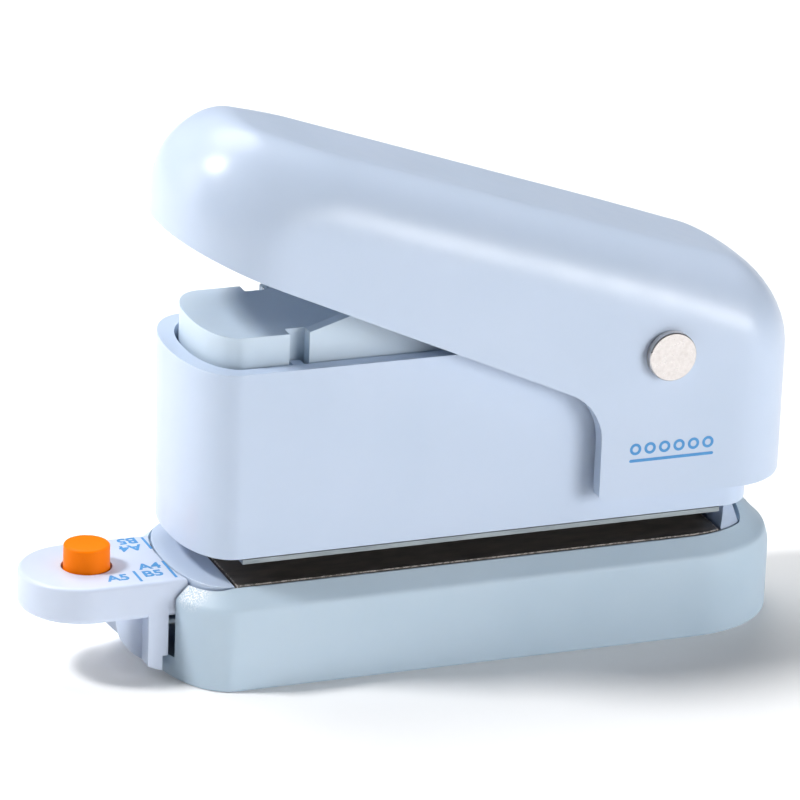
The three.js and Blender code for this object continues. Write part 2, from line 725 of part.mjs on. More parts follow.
function gaugeSlide() {
  const tab = join(
    rodZ(TAB_CENTRE, 0, TAB_HALF, TAB_BOTTOM, TAB_TOP, 40),
    box(TAB_CENTRE, BLADE_RIGHT, -TAB_HALF, TAB_HALF, TAB_BOTTOM, TAB_TOP),
  );
  const web = webPart(-60, CROSS_LEFT + 0.5, WEB.half, TAB_BOTTOM + 0.5);
  const crossRight = BASE_LEFT - GAP;
  const crossPlate = join(
    webPart(CROSS_LEFT, crossRight, TAB_HALF, WEB.z),
    box(CROSS_LEFT, crossRight, -TAB_HALF, TAB_HALF, WEB.z - 0.5, RAIL_TOP),
  );
  const blade = box(crossRight - 0.4, BLADE_RIGHT, -TAB_HALF, TAB_HALF, RAIL_BOTTOM, RAIL_TOP);
  const rails = pair(BLADE_RIGHT - 0.4, RAIL_END, RAIL_IN, TAB_HALF, RAIL_BOTTOM, RAIL_TOP);
  const tools = [
    raised(deckOutline(PLATE_HALF + GAP), RAIL_TOP, 20),
    rodZ(PEG_X, 0, PEG_RADIUS + 0.4, 0, 20, 24),
    rodZ(PEG_X, 0, PEG_WELL.radius, 0, PEG_WELL.top, 24),
    rodZ(PEG_X, 0, PEG_PLATE.radius + GAP, 0, PEG_PLATE.top + GAP, 24),
  ];
  add('gauge_slide', join(cut(join(tab, web), ...tools), crossPlate, blade, rails), SHELL);
}

function locatingPeg() {
  const chamfer = 0.4;
  const button = turned(PEG_X, 0, [
    [0, PEG_FOOT],
    [PEG_FLANGE.radius, PEG_FOOT],
    [PEG_FLANGE.radius, PEG_FLANGE.top],
    [PEG_RADIUS, PEG_FLANGE.top],
    [PEG_RADIUS, PEG_TOP - chamfer],
    [PEG_RADIUS - chamfer, PEG_TOP],
    [0, PEG_TOP],
  ]);
  add('locating_peg', button, ORANGE);
  const plate = rodZ(PEG_X, 0, PEG_PLATE.radius, PEG_PLATE.bottom, PEG_PLATE.top, 24);
  const webRoom = box(-48.9, -44, -6, 6, 0, 20);
  add('peg_plate', cut(plate, rodZ(PEG_X, 0, 1, 0, 20, 12), webRoom), INNER);
  coil('peg_spring', PEG_X, 0, { radius: 3.5, topRadius: 2.3, wire: 0.16, z0: 8.5, z1: 10.2, turns: 2 });
}

chipTray();
baseFrame();
diePlate();
paperStop();
headHousing();
guidePlate();
punchGuide();
headBracket();
headScrews();
hingePin();
handleCover();
pressLever();
leverScrews();
pressBlock();
punchHolder();
holeXs.forEach(punch);
returnSprings();
gaugeSlide();
locatingPeg();

export default assembly;
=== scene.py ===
"""Palm-size six-hole loose-leaf punch: its looks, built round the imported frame.

Shapes are worked out in millimetres in the row frame (X along the punch with the nose at -X, Z up)
and scaled by MM to Blender's metres when a piece is made.
"""

import math

import bmesh
import bpy
import numpy as np
from mathutils import Matrix, Vector


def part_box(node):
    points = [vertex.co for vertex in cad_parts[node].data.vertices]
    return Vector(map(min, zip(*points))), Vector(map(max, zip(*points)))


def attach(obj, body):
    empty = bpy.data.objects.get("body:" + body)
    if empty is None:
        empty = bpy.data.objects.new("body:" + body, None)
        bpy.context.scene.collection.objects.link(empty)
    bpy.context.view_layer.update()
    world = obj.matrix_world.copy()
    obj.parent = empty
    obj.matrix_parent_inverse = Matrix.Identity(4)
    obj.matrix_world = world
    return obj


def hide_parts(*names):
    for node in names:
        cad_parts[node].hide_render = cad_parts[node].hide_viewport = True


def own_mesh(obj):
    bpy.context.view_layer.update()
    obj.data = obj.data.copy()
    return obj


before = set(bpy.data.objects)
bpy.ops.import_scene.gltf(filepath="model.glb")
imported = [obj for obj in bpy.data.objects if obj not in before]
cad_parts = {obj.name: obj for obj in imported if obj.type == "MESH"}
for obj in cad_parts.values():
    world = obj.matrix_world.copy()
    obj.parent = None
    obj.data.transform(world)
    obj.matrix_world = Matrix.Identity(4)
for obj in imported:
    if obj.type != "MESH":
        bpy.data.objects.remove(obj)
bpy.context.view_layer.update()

MM = 0.001


def low(node):
    """Lowest corner of a CAD node, in millimetres."""
    return np.array(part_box(node)[0]) / MM


def high(node):
    """Highest corner of a CAD node, in millimetres."""
    return np.array(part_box(node)[1]) / MM


def middle(node):
    return (low(node) + high(node)) / 2


# ---- sizes taken from the frame -----------------------------------------------------------------

BASE_LEFT, _, FLOOR_Z = low("chip_tray")
BASE_RIGHT, BASE_HALF, HUMP_Z = high("chip_tray")
HEAD_LEFT, _, HEAD_BOTTOM = low("head_housing")
HEAD_RIGHT, HEAD_HALF, EAR_TOP = high("head_housing")
COVER_NOSE, _, COVER_BOTTOM = low("handle_cover")
COVER_BACK, COVER_HALF, _ = high("handle_cover")
PLATE_LEFT, _, PLATE_UNDER = low("die_plate")
PLATE_RIGHT, PLATE_HALF, DECK_Z = high("die_plate")
HINGE_X, _, HINGE_Z = middle("hinge_pin")
PIN_FRONT = low("hinge_pin")[1]
CAP_BACK = high("pin_cap")[1]
PEG_X = middle("locating_peg")[0]
PEG_TOP = high("locating_peg")[2]
PEG_FOOT = low("locating_peg")[2]
TAB_LEFT = low("gauge_slide")[0]
TAB_HALF, TAB_TOP = high("gauge_slide")[1:]
BLOCK_LEFT, _, BLOCK_BOTTOM = low("press_block")
BLOCK_RIGHT, BLOCK_HALF, CHEEK_TOP = high("press_block")
HOLE_XS = [middle(f"punch_{i + 1}")[0] for i in range(6)]
HEAD_SCREWS = [middle(f"head_screw_{i}")[:2] for i in (1, 2)]
GUIDE_SCREWS = [middle(f"guide_screw_{i}")[:2] for i in (1, 2)]

# ---- sizes of the fine shapes -------------------------------------------------------------------

PAST_NOSE = -60.0            # cutting shapes end here, well outside the punch
PAST_SIDE = 20.0
PAST_BASE = 20.0
PAST_HEAD = 40.0
PAST_TOP = 60.0

GAP = 0.3                    # between pieces that touch
PUNCH_RADIUS = 2.95
BORE_RADIUS = 3.12

CREASE_Z = 10.9              # tray: top of its upright side
SHOULDER_SLOPE = 0.9         # tray: inset of the shoulder per millimetre of height
TRAY_WALL = 1.6
TRAY_FLOOR = 1.4
HUMP_INSET = (HUMP_Z - CREASE_Z) * SHOULDER_SLOPE
HUMP_WALL = 1.25
POST_BACK = 35.2             # rear of the full-width part of the frame's post
LEAN_Z = 8.6                 # round the rear end the shoulder starts lower and leans in further
LEAN_RISE = 3.4
REAR_LEAN = 0.75
INNER_LEAN = 0.5
SLOT_REAR = 36.0             # rear end of the paper slot's cut in the tray
GAUGE_NOTCH_RIGHT = -34.0    # tray: the notch in its nose that the gauge fills
GAUGE_NOTCH_FLOOR = 2.9

HEAD_TOP = 41.1              # housing: its rim, apart from the ears
HEAD_DRAFT = 0.13            # wider at the top by this much, narrower at the bottom
HEAD_WALL = 1.9
HEAD_FLOOR = 1.4
HEAD_END = 6.0               # depth of its rounded ends
EAR_RADIUS = EAR_TOP - HINGE_Z

TILT = math.radians(18.5)    # slope of the handle's top at rest
COVER_TOP = 12.6             # from the hinge axis to the top, square to it
COVER_WALL = 2.0
SKIRT_X = 12.9               # front edge of the cheek round the hinge
SKIRT_SLOPE = 0.4465
SKIRT_Z0 = 38.96             # height of the sloping edge at x = 0
SKIRT_RADIUS = 7.5
SPINE_REAR = 28.0            # the skin's rows of points converge between these two places
SPINE_NOSE = -29.0

PIN_RADIUS = 2.4
PIN_HOLE = 2.75
PIN_HEAD_RADIUS = 3.2

PAD_TOP = 44.95              # press block
PAD_RIGHT = -27.4
NOTCH_RIGHT = -24.8
NOTCH_DEPTH = 7.3
CHEEK_THICK = 1.7
CHEEK_END = 11.5
CHEEK_BOTTOM = 40.0
CHANNEL_FLOOR = 41.5
BEAM_HALF = 4.8

TAB_BOTTOM = 8.35            # gauge
TAB_GROW = 0.15
TAB_RADIUS = TAB_HALF + TAB_GROW
BLADE_RIGHT = -37.6
WEB_CENTRE = (-41.0, 8.0)
WEB_RADIUS = 6.95
WEB_HALF = 5.2
STRIP_LEFT = -44.5
STRIP_RIGHT = BASE_LEFT - GAP
STRIP_OVERLAP = 0.7
RUNNER_BOTTOM = 8.6
RAIL_TOP = 10.5
PEG_RADIUS = 2.93
PEG_FLANGE = 3.9

# ---- solids -------------------------------------------------------------------------------------


def solid(points, faces):
    """A closed mesh with its faces pointing out."""
    mesh = bpy.data.meshes.new("solid")
    mesh.from_pydata([tuple(map(float, p)) for p in points], [], faces)
    form = bmesh.new()
    form.from_mesh(mesh)
    bmesh.ops.remove_doubles(form, verts=form.verts, dist=1e-4)
    bmesh.ops.recalc_face_normals(form, faces=form.faces)
    form.to_mesh(mesh)
    form.free()
    return mesh


def loft(layers):
    """Closed skin over a stack of outlines of equal length, each (outline, z)."""
    count = len(layers[0][0])
    points = [(x, y, z) for outline, z in layers for x, y in outline]
    faces = []
    for layer in range(len(layers) - 1):
        for i in range(count):
            a = layer * count + i
            b = layer * count + (i + 1) % count
            faces.append((a, b, b + count, a + count))
    faces.append(tuple(reversed(range(count))))
    faces.append(tuple(range(len(points) - count, len(points))))
    return solid(points, faces)


def upright(outline, z0, z1):
    """A plan outline raised from z0 to z1."""
    return loft([(outline, z0), (outline, z1)])


def across(outline, y0, y1):
    """A side outline of (x, z) spread from y0 to y1."""
    count = len(outline)
    points = [(x, y, z) for y in (y0, y1) for x, z in outline]
    faces = [(i, (i + 1) % count, (i + 1) % count + count, i + count) for i in range(count)]
    faces.append(tuple(range(count)))
    faces.append(tuple(range(count, 2 * count)))
    return solid(points, faces)


def box(x0, x1, y0, y1, z0, z1):
    return upright([(x0, y0), (x1, y0), (x1, y1), (x0, y1)], z0, z1)


def pair(x0, x1, y0, y1, z0, z1):
    """A box on each side of the middle plane, from |y| = y0 to y1."""
    return [box(x0, x1, y0, y1, z0, z1), box(x0, x1, -y1, -y0, z0, z1)]


def ring(radius, sides=64):
    return [(radius * math.cos(t), radius * math.sin(t)) for t in np.arange(sides) * math.tau / sides]


def rod_z(x, y, radius, z0, z1, sides=64):
    return upright([(x + a, y + b) for a, b in ring(radius, sides)], z0, z1)


def rod_y(x, z, radius, y0, y1, sides=64):
    return across([(x + a, z + b) for a, b in ring(radius, sides)], y0, y1)


def turned(profile, sides=72):
    """A turned solid about Z from (radius, z) pairs that start and end on the axis."""
    layers = [([(max(r, 1e-3) * c, max(r, 1e-3) * s) for c, s in ring(1, sides)], z) for r, z in profile]
    return loft(layers)


def moved(mesh, matrix):
    mesh.transform(matrix)
    return mesh


def loaf(left, right, half, end_left, end_right, power=2.2, steps=26):
    """Long outline with straight sides and a superellipse at each end."""

    def end(tip, depth, side):
        points = []
        for i in range(-steps, steps + 1):
            angle = i / steps * math.pi / 2
            sideways = half * math.copysign(abs(math.sin(angle)) ** (2 / power), angle)
            along = depth * (1 - max(math.cos(angle), 0) ** (2 / power))
            points.append((tip - side * along, side * sideways))
        return points

    return end(right, end_right, 1) + end(left, end_left, -1)


def filleted(points, radii, steps=8):
    """An outline with some corners rounded; radii maps a corner's index to its radius."""
    made = []
    for i, point in enumerate(points):
        if i not in radii:
            made.append(tuple(point))
            continue
        corner = Vector(point)
        before = (Vector(points[i - 1]) - corner).normalized()
        after = (Vector(points[(i + 1) % len(points)]) - corner).normalized()
        half_angle = before.angle(after) / 2
        start = corner + before * (radii[i] / math.tan(half_angle))
        centre = corner + (before + after).normalized() * (radii[i] / math.sin(half_angle))
        turn = (start - centre).angle_signed(corner + after * (start - corner).length - centre)
        for step in range(steps + 1):
            spoke = start - centre
            spoke.rotate(Matrix.Rotation(-turn * step / steps, 2))
            made.append(tuple(centre + spoke))
    return made


def eased_step(t):
    """From 0 to 1 with a soft start and end."""
    t = np.clip(t, 0, 1)
    return t * t * (3 - 2 * t)


def round_nosed(left, right, half):
    """A plan outline with a rounded nose at the left and a nearly square right end."""
    return loaf(left, right, half, end_left=6, end_right=0.5)


# ---- joining, cutting and finishing -------------------------------------------------------------


def held(mesh):
    holder = bpy.data.objects.new("holder", mesh)
    bpy.context.scene.collection.objects.link(holder)
    return holder


def applied(holder, extra=()):
    """The mesh of an object with its modifiers applied; the object and the extra ones go."""
    graph = bpy.context.evaluated_depsgraph_get()
    mesh = bpy.data.meshes.new_from_object(holder.evaluated_get(graph))
    for thing in (holder, *extra):
        bpy.data.objects.remove(thing)
    return mesh


def combined(mesh, others, operation):
    holder = held(mesh)
    tools = [held(other) for other in others]
    for tool in tools:
        step = holder.modifiers.new("combine", "BOOLEAN")
        step.operation = operation
        step.solver = "MANIFOLD"
        step.object = tool
    return applied(holder, tools)


def join(mesh, *others):
    return combined(mesh, others, "UNION")


def cut(mesh, *others):
    return combined(mesh, others, "DIFFERENCE")


def common(mesh, *others):
    return combined(mesh, others, "INTERSECT")


def smooth(mesh, degrees=34):
    """Smooth shading with edges over this angle kept sharp."""
    form = bmesh.new()
    form.from_mesh(mesh)
    for face in form.faces:
        face.smooth = True
    for edge in form.edges:
        flat = len(edge.link_faces) == 2 and edge.calc_face_angle(0) < math.radians(degrees)
        edge.smooth = flat
    form.to_mesh(mesh)
    form.free()
    return mesh


def eased(mesh, width, segments=3, degrees=34):
    """Edges over this angle rounded off, with the broad faces left flat."""
    mesh.shade_smooth()
    holder = held(mesh)
    step = holder.modifiers.new("ease", "BEVEL")
    step.width = width
    step.segments = segments
    step.limit_method = "ANGLE"
    step.angle_limit = math.radians(degrees)
    step.harden_normals = True
    step.miter_outer = "MITER_ARC"
    return applied(holder)


def piece(name, mesh, body, material, replaces=()):
    """A finished piece from a mesh in millimetres, riding on a CAD body."""
    mesh.transform(Matrix.Scale(MM, 4))
    mesh.materials.clear()
    mesh.materials.append(material)
    obj = bpy.data.objects.new(name, mesh)
    bpy.context.scene.collection.objects.link(obj)
    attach(obj, body)
    if replaces:
        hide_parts(*replaces)
    return obj


# ---- materials ----------------------------------------------------------------------------------


def linear(red, green, blue):
    """A colour given in 8-bit display values, as Blender's linear RGBA."""

    def channel(value):
        value /= 255
        return value / 12.92 if value <= 0.04045 else ((value + 0.055) / 1.055) ** 2.4

    return (channel(red), channel(green), channel(blue), 1)


class Nodes:
    """Short calls for building a material's node tree."""

    def __init__(self, name):
        self.material = bpy.data.materials.new(name)
        self.material.use_nodes = True
        self.tree = self.material.node_tree
        self.shader = self.tree.nodes["Principled BSDF"]
        self.place = self.tree.nodes.new("ShaderNodeTexCoord").outputs["Object"]

    def link(self, source, target):
        self.tree.links.new(source, target)

    def noise(self, scale, detail=3.0, rough=0.55, stretch=(1, 1, 1)):
        mapping = self.tree.nodes.new("ShaderNodeMapping")
        mapping.inputs["Scale"].default_value = stretch
        self.link(self.place, mapping.inputs["Vector"])
        node = self.tree.nodes.new("ShaderNodeTexNoise")
        node.inputs["Scale"].default_value = scale
        node.inputs["Detail"].default_value = detail
        node.inputs["Roughness"].default_value = rough
        self.link(mapping.outputs["Vector"], node.inputs["Vector"])
        return node.outputs["Fac"]

    def ranged(self, source, from_low, from_high, to_low, to_high):
        node = self.tree.nodes.new("ShaderNodeMapRange")
        node.inputs["From Min"].default_value = from_low
        node.inputs["From Max"].default_value = from_high
        node.inputs["To Min"].default_value = to_low
        node.inputs["To Max"].default_value = to_high
        self.link(source, node.inputs["Value"])
        return node.outputs["Result"]

    def multiplied(self, one, two):
        node = self.tree.nodes.new("ShaderNodeMath")
        node.operation = "MULTIPLY"
        self.link(one, node.inputs[0])
        self.link(two, node.inputs[1])
        return node.outputs[0]

    def blended(self, amount, one, two):
        """Colour from one to two; each is an RGBA value or a socket."""
        node = self.tree.nodes.new("ShaderNodeMix")
        node.data_type = "RGBA"
        self.link(amount, node.inputs["Factor"])
        for name, value in (("A", one), ("B", two)):
            socket = [s for s in node.inputs if s.name == name and s.type == "RGBA"][0]
            if isinstance(value, tuple):
                socket.default_value = value
            else:
                self.link(value, socket)
        return [s for s in node.outputs if s.type == "RGBA"][0]

    def edges(self, radius):
        """1 on an edge, worn and with a painted highlight, and 0 on a flat face, from how far a rounded
        normal turns.
        """
        bevel = self.tree.nodes.new("ShaderNodeBevel")
        bevel.samples = 4
        bevel.inputs["Radius"].default_value = radius
        normal = self.tree.nodes.new("ShaderNodeNewGeometry").outputs["Normal"]
        dot = self.tree.nodes.new("ShaderNodeVectorMath")
        dot.operation = "DOT_PRODUCT"
        self.link(bevel.outputs["Normal"], dot.inputs[0])
        self.link(normal, dot.inputs[1])
        return self.ranged(dot.outputs["Value"], 0.995, 0.9, 0.0, 1.0)

    def painted_glint(self, centre, reach):
        """Painted highlight: pale flecks scattered round one spot, given in millimetres."""
        away = self.tree.nodes.new("ShaderNodeVectorMath")
        away.operation = "DISTANCE"
        away.inputs[1].default_value = Vector(centre) * MM
        self.link(self.place, away.inputs[0])
        near = self.ranged(away.outputs["Value"], reach * MM, reach * 0.4 * MM, 0.0, 0.85)
        return self.multiplied(near, self.ranged(self.noise(4600, detail=2), 0.44, 0.6, 0.0, 1.0))

    def bumped(self, heights, distance):
        """Fine relief; heights are (socket, strength) pairs laid over each other."""
        normal = None
        for height, strength in heights:
            bump = self.tree.nodes.new("ShaderNodeBump")
            bump.inputs["Strength"].default_value = strength
            bump.inputs["Distance"].default_value = distance
            self.link(height, bump.inputs["Height"])
            if normal is not None:
                self.link(normal, bump.inputs["Normal"])
            normal = bump.outputs["Normal"]
        self.link(normal, self.shader.inputs["Normal"])

    def set(self, **values):
        for name, value in values.items():
            self.shader.inputs[name.replace("_", " ")].default_value = value


def plastic(name, colour, shade, roughness, grain=0.05, depth=0.0, cloud_scale=60, shine=0.5, glint_spot=None):
    """Moulded plastic: faint clouding in the colour, a fine spark-eroded grain, uneven gloss and, where asked
    for, a painted highlight of white flecks round one spot.
    """
    nodes = Nodes(name)
    cloud = nodes.noise(cloud_scale, detail=4)
    colour_out = nodes.blended(nodes.ranged(cloud, 0.35, 0.7, 0.0, 1.0), colour, shade)
    # painted highlight: white flecks laid into the colour round one spot
    if glint_spot:
        colour_out = nodes.blended(nodes.painted_glint(*glint_spot), colour_out, linear(250, 250, 252))
    nodes.link(colour_out, nodes.shader.inputs["Base Color"])
    patches = nodes.noise(260, detail=5)
    nodes.link(
        nodes.ranged(patches, 0.3, 0.7, roughness - 0.02, roughness + 0.05),
        nodes.shader.inputs["Roughness"],
    )
    nodes.bumped([(nodes.noise(5200, detail=2), grain), (nodes.noise(420, detail=2), grain * 0.4)], 0.00004)
    nodes.set(IOR=1.5, Specular_IOR_Level=shine)
    if depth:
        nodes.set(
            Subsurface_Weight=depth,
            Subsurface_Radius=(0.6, 0.8, 1.0),
            Subsurface_Scale=0.002,
        )
    return nodes.material


def metal(name, colour, worn, roughness, streak=(1, 1, 1), scale=900, edge=0.0, metallic=1.0):
    """Metal with drawn streaks, uneven polish and, where asked for, bright chipped edges that are partly wear
    and partly a painted edge highlight.
    """
    nodes = Nodes(name)
    streaks = nodes.noise(scale, detail=5, rough=0.65, stretch=streak)
    mottled = nodes.blended(nodes.ranged(streaks, 0.35, 0.68, 0.0, 1.0), colour, worn)
    # bright edges: partly real wear, partly a painted highlight of light catching the edge
    if edge:
        chips_and_glints = nodes.multiplied(nodes.edges(edge), nodes.ranged(nodes.noise(2600), 0.45, 0.53, 0.15, 1.0))
        mottled = nodes.blended(chips_and_glints, mottled, linear(244, 236, 228))
    nodes.link(mottled, nodes.shader.inputs["Base Color"])
    nodes.link(
        nodes.ranged(streaks, 0.3, 0.7, roughness - 0.06, roughness + 0.1),
        nodes.shader.inputs["Roughness"],
    )
    nodes.bumped([(streaks, 0.08), (nodes.noise(3800), 0.04)], 0.00003)
    nodes.set(Metallic=metallic)
    return nodes.material


SHELL = plastic("shell_blue", linear(197, 211, 232), linear(193, 208, 229), 0.31, grain=0.035, depth=0.06)
TRAY = plastic(
    "tray_clouded",
    linear(190, 208, 223),
    linear(182, 202, 218),
    0.5,
    grain=0.12,
    depth=0.12,
    cloud_scale=45,
    # painted highlight of white flecks on the shoulder's front-left corner, where the light catches it
    glint_spot=((-39.4, -9.6, 12.2), 2.7),
)
# a lighter blue than the shell's: painted light for the bounce that reaches the block in the cover's shade
BLOCK = plastic("block_blue_painted_light", linear(206, 221, 234), linear(200, 216, 230), 0.4, grain=0.04, depth=0.06)
GAUGE = plastic("gauge_blue", linear(206, 216, 234), linear(200, 211, 230), 0.38, grain=0.05, depth=0.06)
INNER = plastic("inner_white", linear(216, 221, 226), linear(206, 212, 219), 0.5, grain=0.06)
ORANGE = plastic("peg_orange", linear(254, 128, 0), linear(250, 118, 0), 0.42, grain=0.04, shine=0.1)
PRINT = plastic("print_blue", linear(66, 142, 204), linear(78, 152, 210), 0.55, grain=0.08, cloud_scale=900)
BLACK = metal(
    "blackened_steel",
    linear(92, 87, 83),
    linear(128, 120, 113),
    0.45,
    streak=(0.25, 1, 1),
    # bright edges, partly worn and partly a painted edge highlight
    edge=0.00035,
    metallic=0.45,
)
STEEL = metal("bright_steel", linear(178, 182, 186), linear(150, 154, 158), 0.34, streak=(0.3, 1, 1))
GUIDE_STEEL = metal("guide_steel", linear(150, 158, 162), linear(128, 136, 140), 0.4, streak=(0.2, 1, 1))
NICKEL = metal("nickel", linear(226, 221, 219), linear(206, 200, 197), 0.3, scale=1500)
SPRING = metal("spring_wire", linear(160, 163, 167), linear(120, 122, 126), 0.28, scale=2600)

# ---- chip tray ----------------------------------------------------------------------------------


def base_outline(inset, lean=0.0):
    return loaf(
        BASE_LEFT + inset,
        BASE_RIGHT - inset - lean,
        BASE_HALF - inset,
        end_left=7.6 - inset / 2,
        end_right=15 - inset,
        power=2.1,
    )


def rear_lean(z, most):
    """How much further in the tray's rear end lies at a height."""
    return most * eased_step((z - LEAN_Z) / LEAN_RISE)


def wrapped(profile, lean):
    """A stack of base outlines that follows a profile of (inset, z)."""
    return loft([(base_outline(inset, rear_lean(z, lean)), z) for inset, z in profile])


def behind_rim(inset):
    """What lies inside the rim's inset round the rear, and everything ahead of it."""
    return join(
        upright(base_outline(inset, INNER_LEAN), 0, PAST_BASE),
        box(PAST_NOSE, 0, -PAST_SIDE, PAST_SIDE, 0, PAST_BASE),
    )


def chip_tray():
    side = filleted(
        [(3, FLOOR_Z), (0, FLOOR_Z), (0, CREASE_Z), (HUMP_INSET, HUMP_Z)],
        {1: 0.4, 2: 0.3},
    )
    foot = [point for point in side if point[1] < LEAN_Z]
    insets, heights = zip(*side[1:])
    shoulder = [(np.interp(z, heights, insets), z) for z in np.linspace(LEAN_Z, HUMP_Z, 24)]
    outside = wrapped(foot + shoulder, REAR_LEAN)
    inner_hump = HUMP_INSET + HUMP_WALL
    inner_side = filleted(
        [
            (4, TRAY_FLOOR),
            (TRAY_WALL, TRAY_FLOOR),
            (TRAY_WALL, CREASE_Z - 0.9),
            (inner_hump, HUMP_Z + 0.2),
        ],
        {1: 1.2, 2: 1.0},
    )
    inside = wrapped(inner_side, INNER_LEAN)
    slot_floor = DECK_Z - 0.15
    slot_side = filleted(
        [
            (PAST_NOSE, slot_floor),
            (SLOT_REAR, slot_floor),
            (SLOT_REAR - 0.4, HUMP_Z),
            (SLOT_REAR - 0.4, PAST_BASE),
            (PAST_NOSE, PAST_BASE),
        ],
        {1: 1.0},
    )
    paper_slot = across(slot_side, -PAST_SIDE, PAST_SIDE)
    recess_outline = round_nosed(HEAD_LEFT - 0.8, POST_BACK + GAP, PLATE_HALF + 0.3)
    recess = upright(recess_outline, PLATE_UNDER - 2 * GAP, PAST_BASE)
    plate_recess = common(recess, behind_rim(BASE_HALF - PLATE_HALF - 0.3))
    notch_half = TAB_RADIUS + GAP
    gauge_notch = box(
        PAST_NOSE, GAUGE_NOTCH_RIGHT, -notch_half, notch_half, GAUGE_NOTCH_FLOOR, PAST_BASE
    )
    shell = cut(outside, inside, paper_slot, plate_recess, gauge_notch)
    piece("tray_shell", eased(shell, 0.22), "tray", TRAY, ["chip_tray"])


# ---- base frame and die plate -------------------------------------------------------------------

DECK_LEFT = HEAD_LEFT - 0.4
DECK_HALF = PLATE_HALF
FRAME_LEFT = -36.0
FRAME_HALF = 10.0
FRAME_WALL = 1.9
FRAME_TOP = PLATE_UNDER - GAP
FRAME_BOTTOM = 2.0
LEDGE_IN = 4.5               # the ledges under the die plate reach in this far
LEDGE_BOTTOM = RAIL_TOP + 0.4
SHELF_RIGHT = -10.0          # the shelves that carry the gauge's rails
SHELF_IN = 5.6
SHELF_BOTTOM = 6.9
SHELF_TOP = 8.3
POST_X = PLATE_RIGHT + 0.4
POST_WALL = 1.8
RAMP_TOP_X = 34.4


def deck_outline(half):
    return round_nosed(DECK_LEFT + DECK_HALF - half, 0, half)


def deck_end():
    """The rounded end of the deck, left of the die plate."""
    trim = box(PLATE_LEFT - GAP, 5, -PAST_SIDE, PAST_SIDE, 0, PAST_BASE)
    deck = cut(
        join(
            upright(deck_outline(DECK_HALF), FRAME_TOP - 0.05, TAB_TOP),
            upright(deck_outline(FRAME_HALF), LEDGE_BOTTOM, FRAME_TOP),
        ),
        trim,
    )
    piece("deck_end", eased(deck, 0.18), "base", SHELL)


def post_face():
    """The full-width ramp of the post, shaped to lie flush with the tray's shoulder."""
    ramp = across(
        [
            (POST_X, FRAME_TOP),
            (POST_BACK, FRAME_TOP),
            (POST_BACK, HUMP_Z),
            (RAMP_TOP_X, HUMP_Z),
            (POST_X, DECK_Z),
        ],
        -PLATE_HALF,
        PLATE_HALF,
    )
    flush = HUMP_INSET + 0.35
    shoulder = loft([
        (base_outline(flush - (HUMP_Z - FRAME_TOP) * SHOULDER_SLOPE, REAR_LEAN), FRAME_TOP - 0.1),
        (base_outline(flush, REAR_LEAN), HUMP_Z + 0.1),
    ])
    return common(common(ramp, shoulder), behind_rim(BASE_HALF - PLATE_HALF))


def base_frame():
    inside = base_outline(HUMP_INSET + HUMP_WALL + GAP, INNER_LEAN)
    rear_block = cut(
        upright(inside, FRAME_BOTTOM, HUMP_Z),
        box(PAST_NOSE, POST_X - POST_WALL, -PAST_SIDE, PAST_SIDE, 0, PAST_BASE),
        box(0, POST_X, -PAST_SIDE, PAST_SIDE, FRAME_TOP, PAST_BASE),
    )
    frame_mesh = join(
        rear_block,
        post_face(),
        *pair(FRAME_LEFT, POST_X, FRAME_HALF - FRAME_WALL, FRAME_HALF, FRAME_BOTTOM, FRAME_TOP),
        *pair(PLATE_LEFT - GAP, POST_X, LEDGE_IN, FRAME_HALF, LEDGE_BOTTOM, FRAME_TOP),
        box(POST_X - POST_WALL, POST_X + 0.8, -FRAME_HALF, FRAME_HALF, FRAME_BOTTOM, FRAME_TOP),
        *pair(FRAME_LEFT, SHELF_RIGHT, SHELF_IN, FRAME_HALF, SHELF_BOTTOM, SHELF_TOP),
    )
    bores = [rod_z(x, y, 1.25, 0, PAST_BASE) for x, y in HEAD_SCREWS]
    recesses = [rod_z(x, y, 1.95, 0, 6) for x, y in HEAD_SCREWS]
    frame_mesh = cut(frame_mesh, *bores, *recesses)
    piece("base_beam", eased(frame_mesh, 0.15, 2), "base", SHELL, ["base_frame"])


def punched_plate(name, node, radius, material, extra_holes=(), ease=0.08):
    x0, y0, z0 = low(node)
    x1, y1, z1 = high(node)
    holes = [rod_z(x, 0, radius, 0, PAST_HEAD, sides=72) for x in HOLE_XS]
    sheet = common(box(x0, x1, y0, y1, z0, z1), behind_rim(BASE_HALF - PLATE_HALF))
    plate = cut(sheet, *holes, *extra_holes)
    return piece(name, eased(plate, ease, 2), "base", material, [node])


def plates():
    punched_plate("die_sheet", "die_plate", BORE_RADIUS, BLACK)
    screw_holes = [rod_z(x, y, 2.4, 0, PAST_HEAD) for x, y in GUIDE_SCREWS]
    punched_plate("guide_sheet", "guide_plate", BORE_RADIUS, GUIDE_STEEL, screw_holes)
    x0, y0, z0 = low("paper_stop")
    x1, y1, z1 = high("paper_stop")
    corners = [(x0, y0), (x1, y0), (x1, y1), (x0, y1)]
    stop = upright(filleted(corners, {i: 0.6 for i in range(4)}), z0, z1)
    piece("paper_fence", eased(stop, 0.15, 3), "base", STEEL, ["paper_stop"])


# ---- head housing -------------------------------------------------------------------------------


def head_outline(grow):
    depth = HEAD_END + grow / 2
    return loaf(HEAD_LEFT - grow, HEAD_RIGHT + grow, HEAD_HALF + grow, depth, depth)


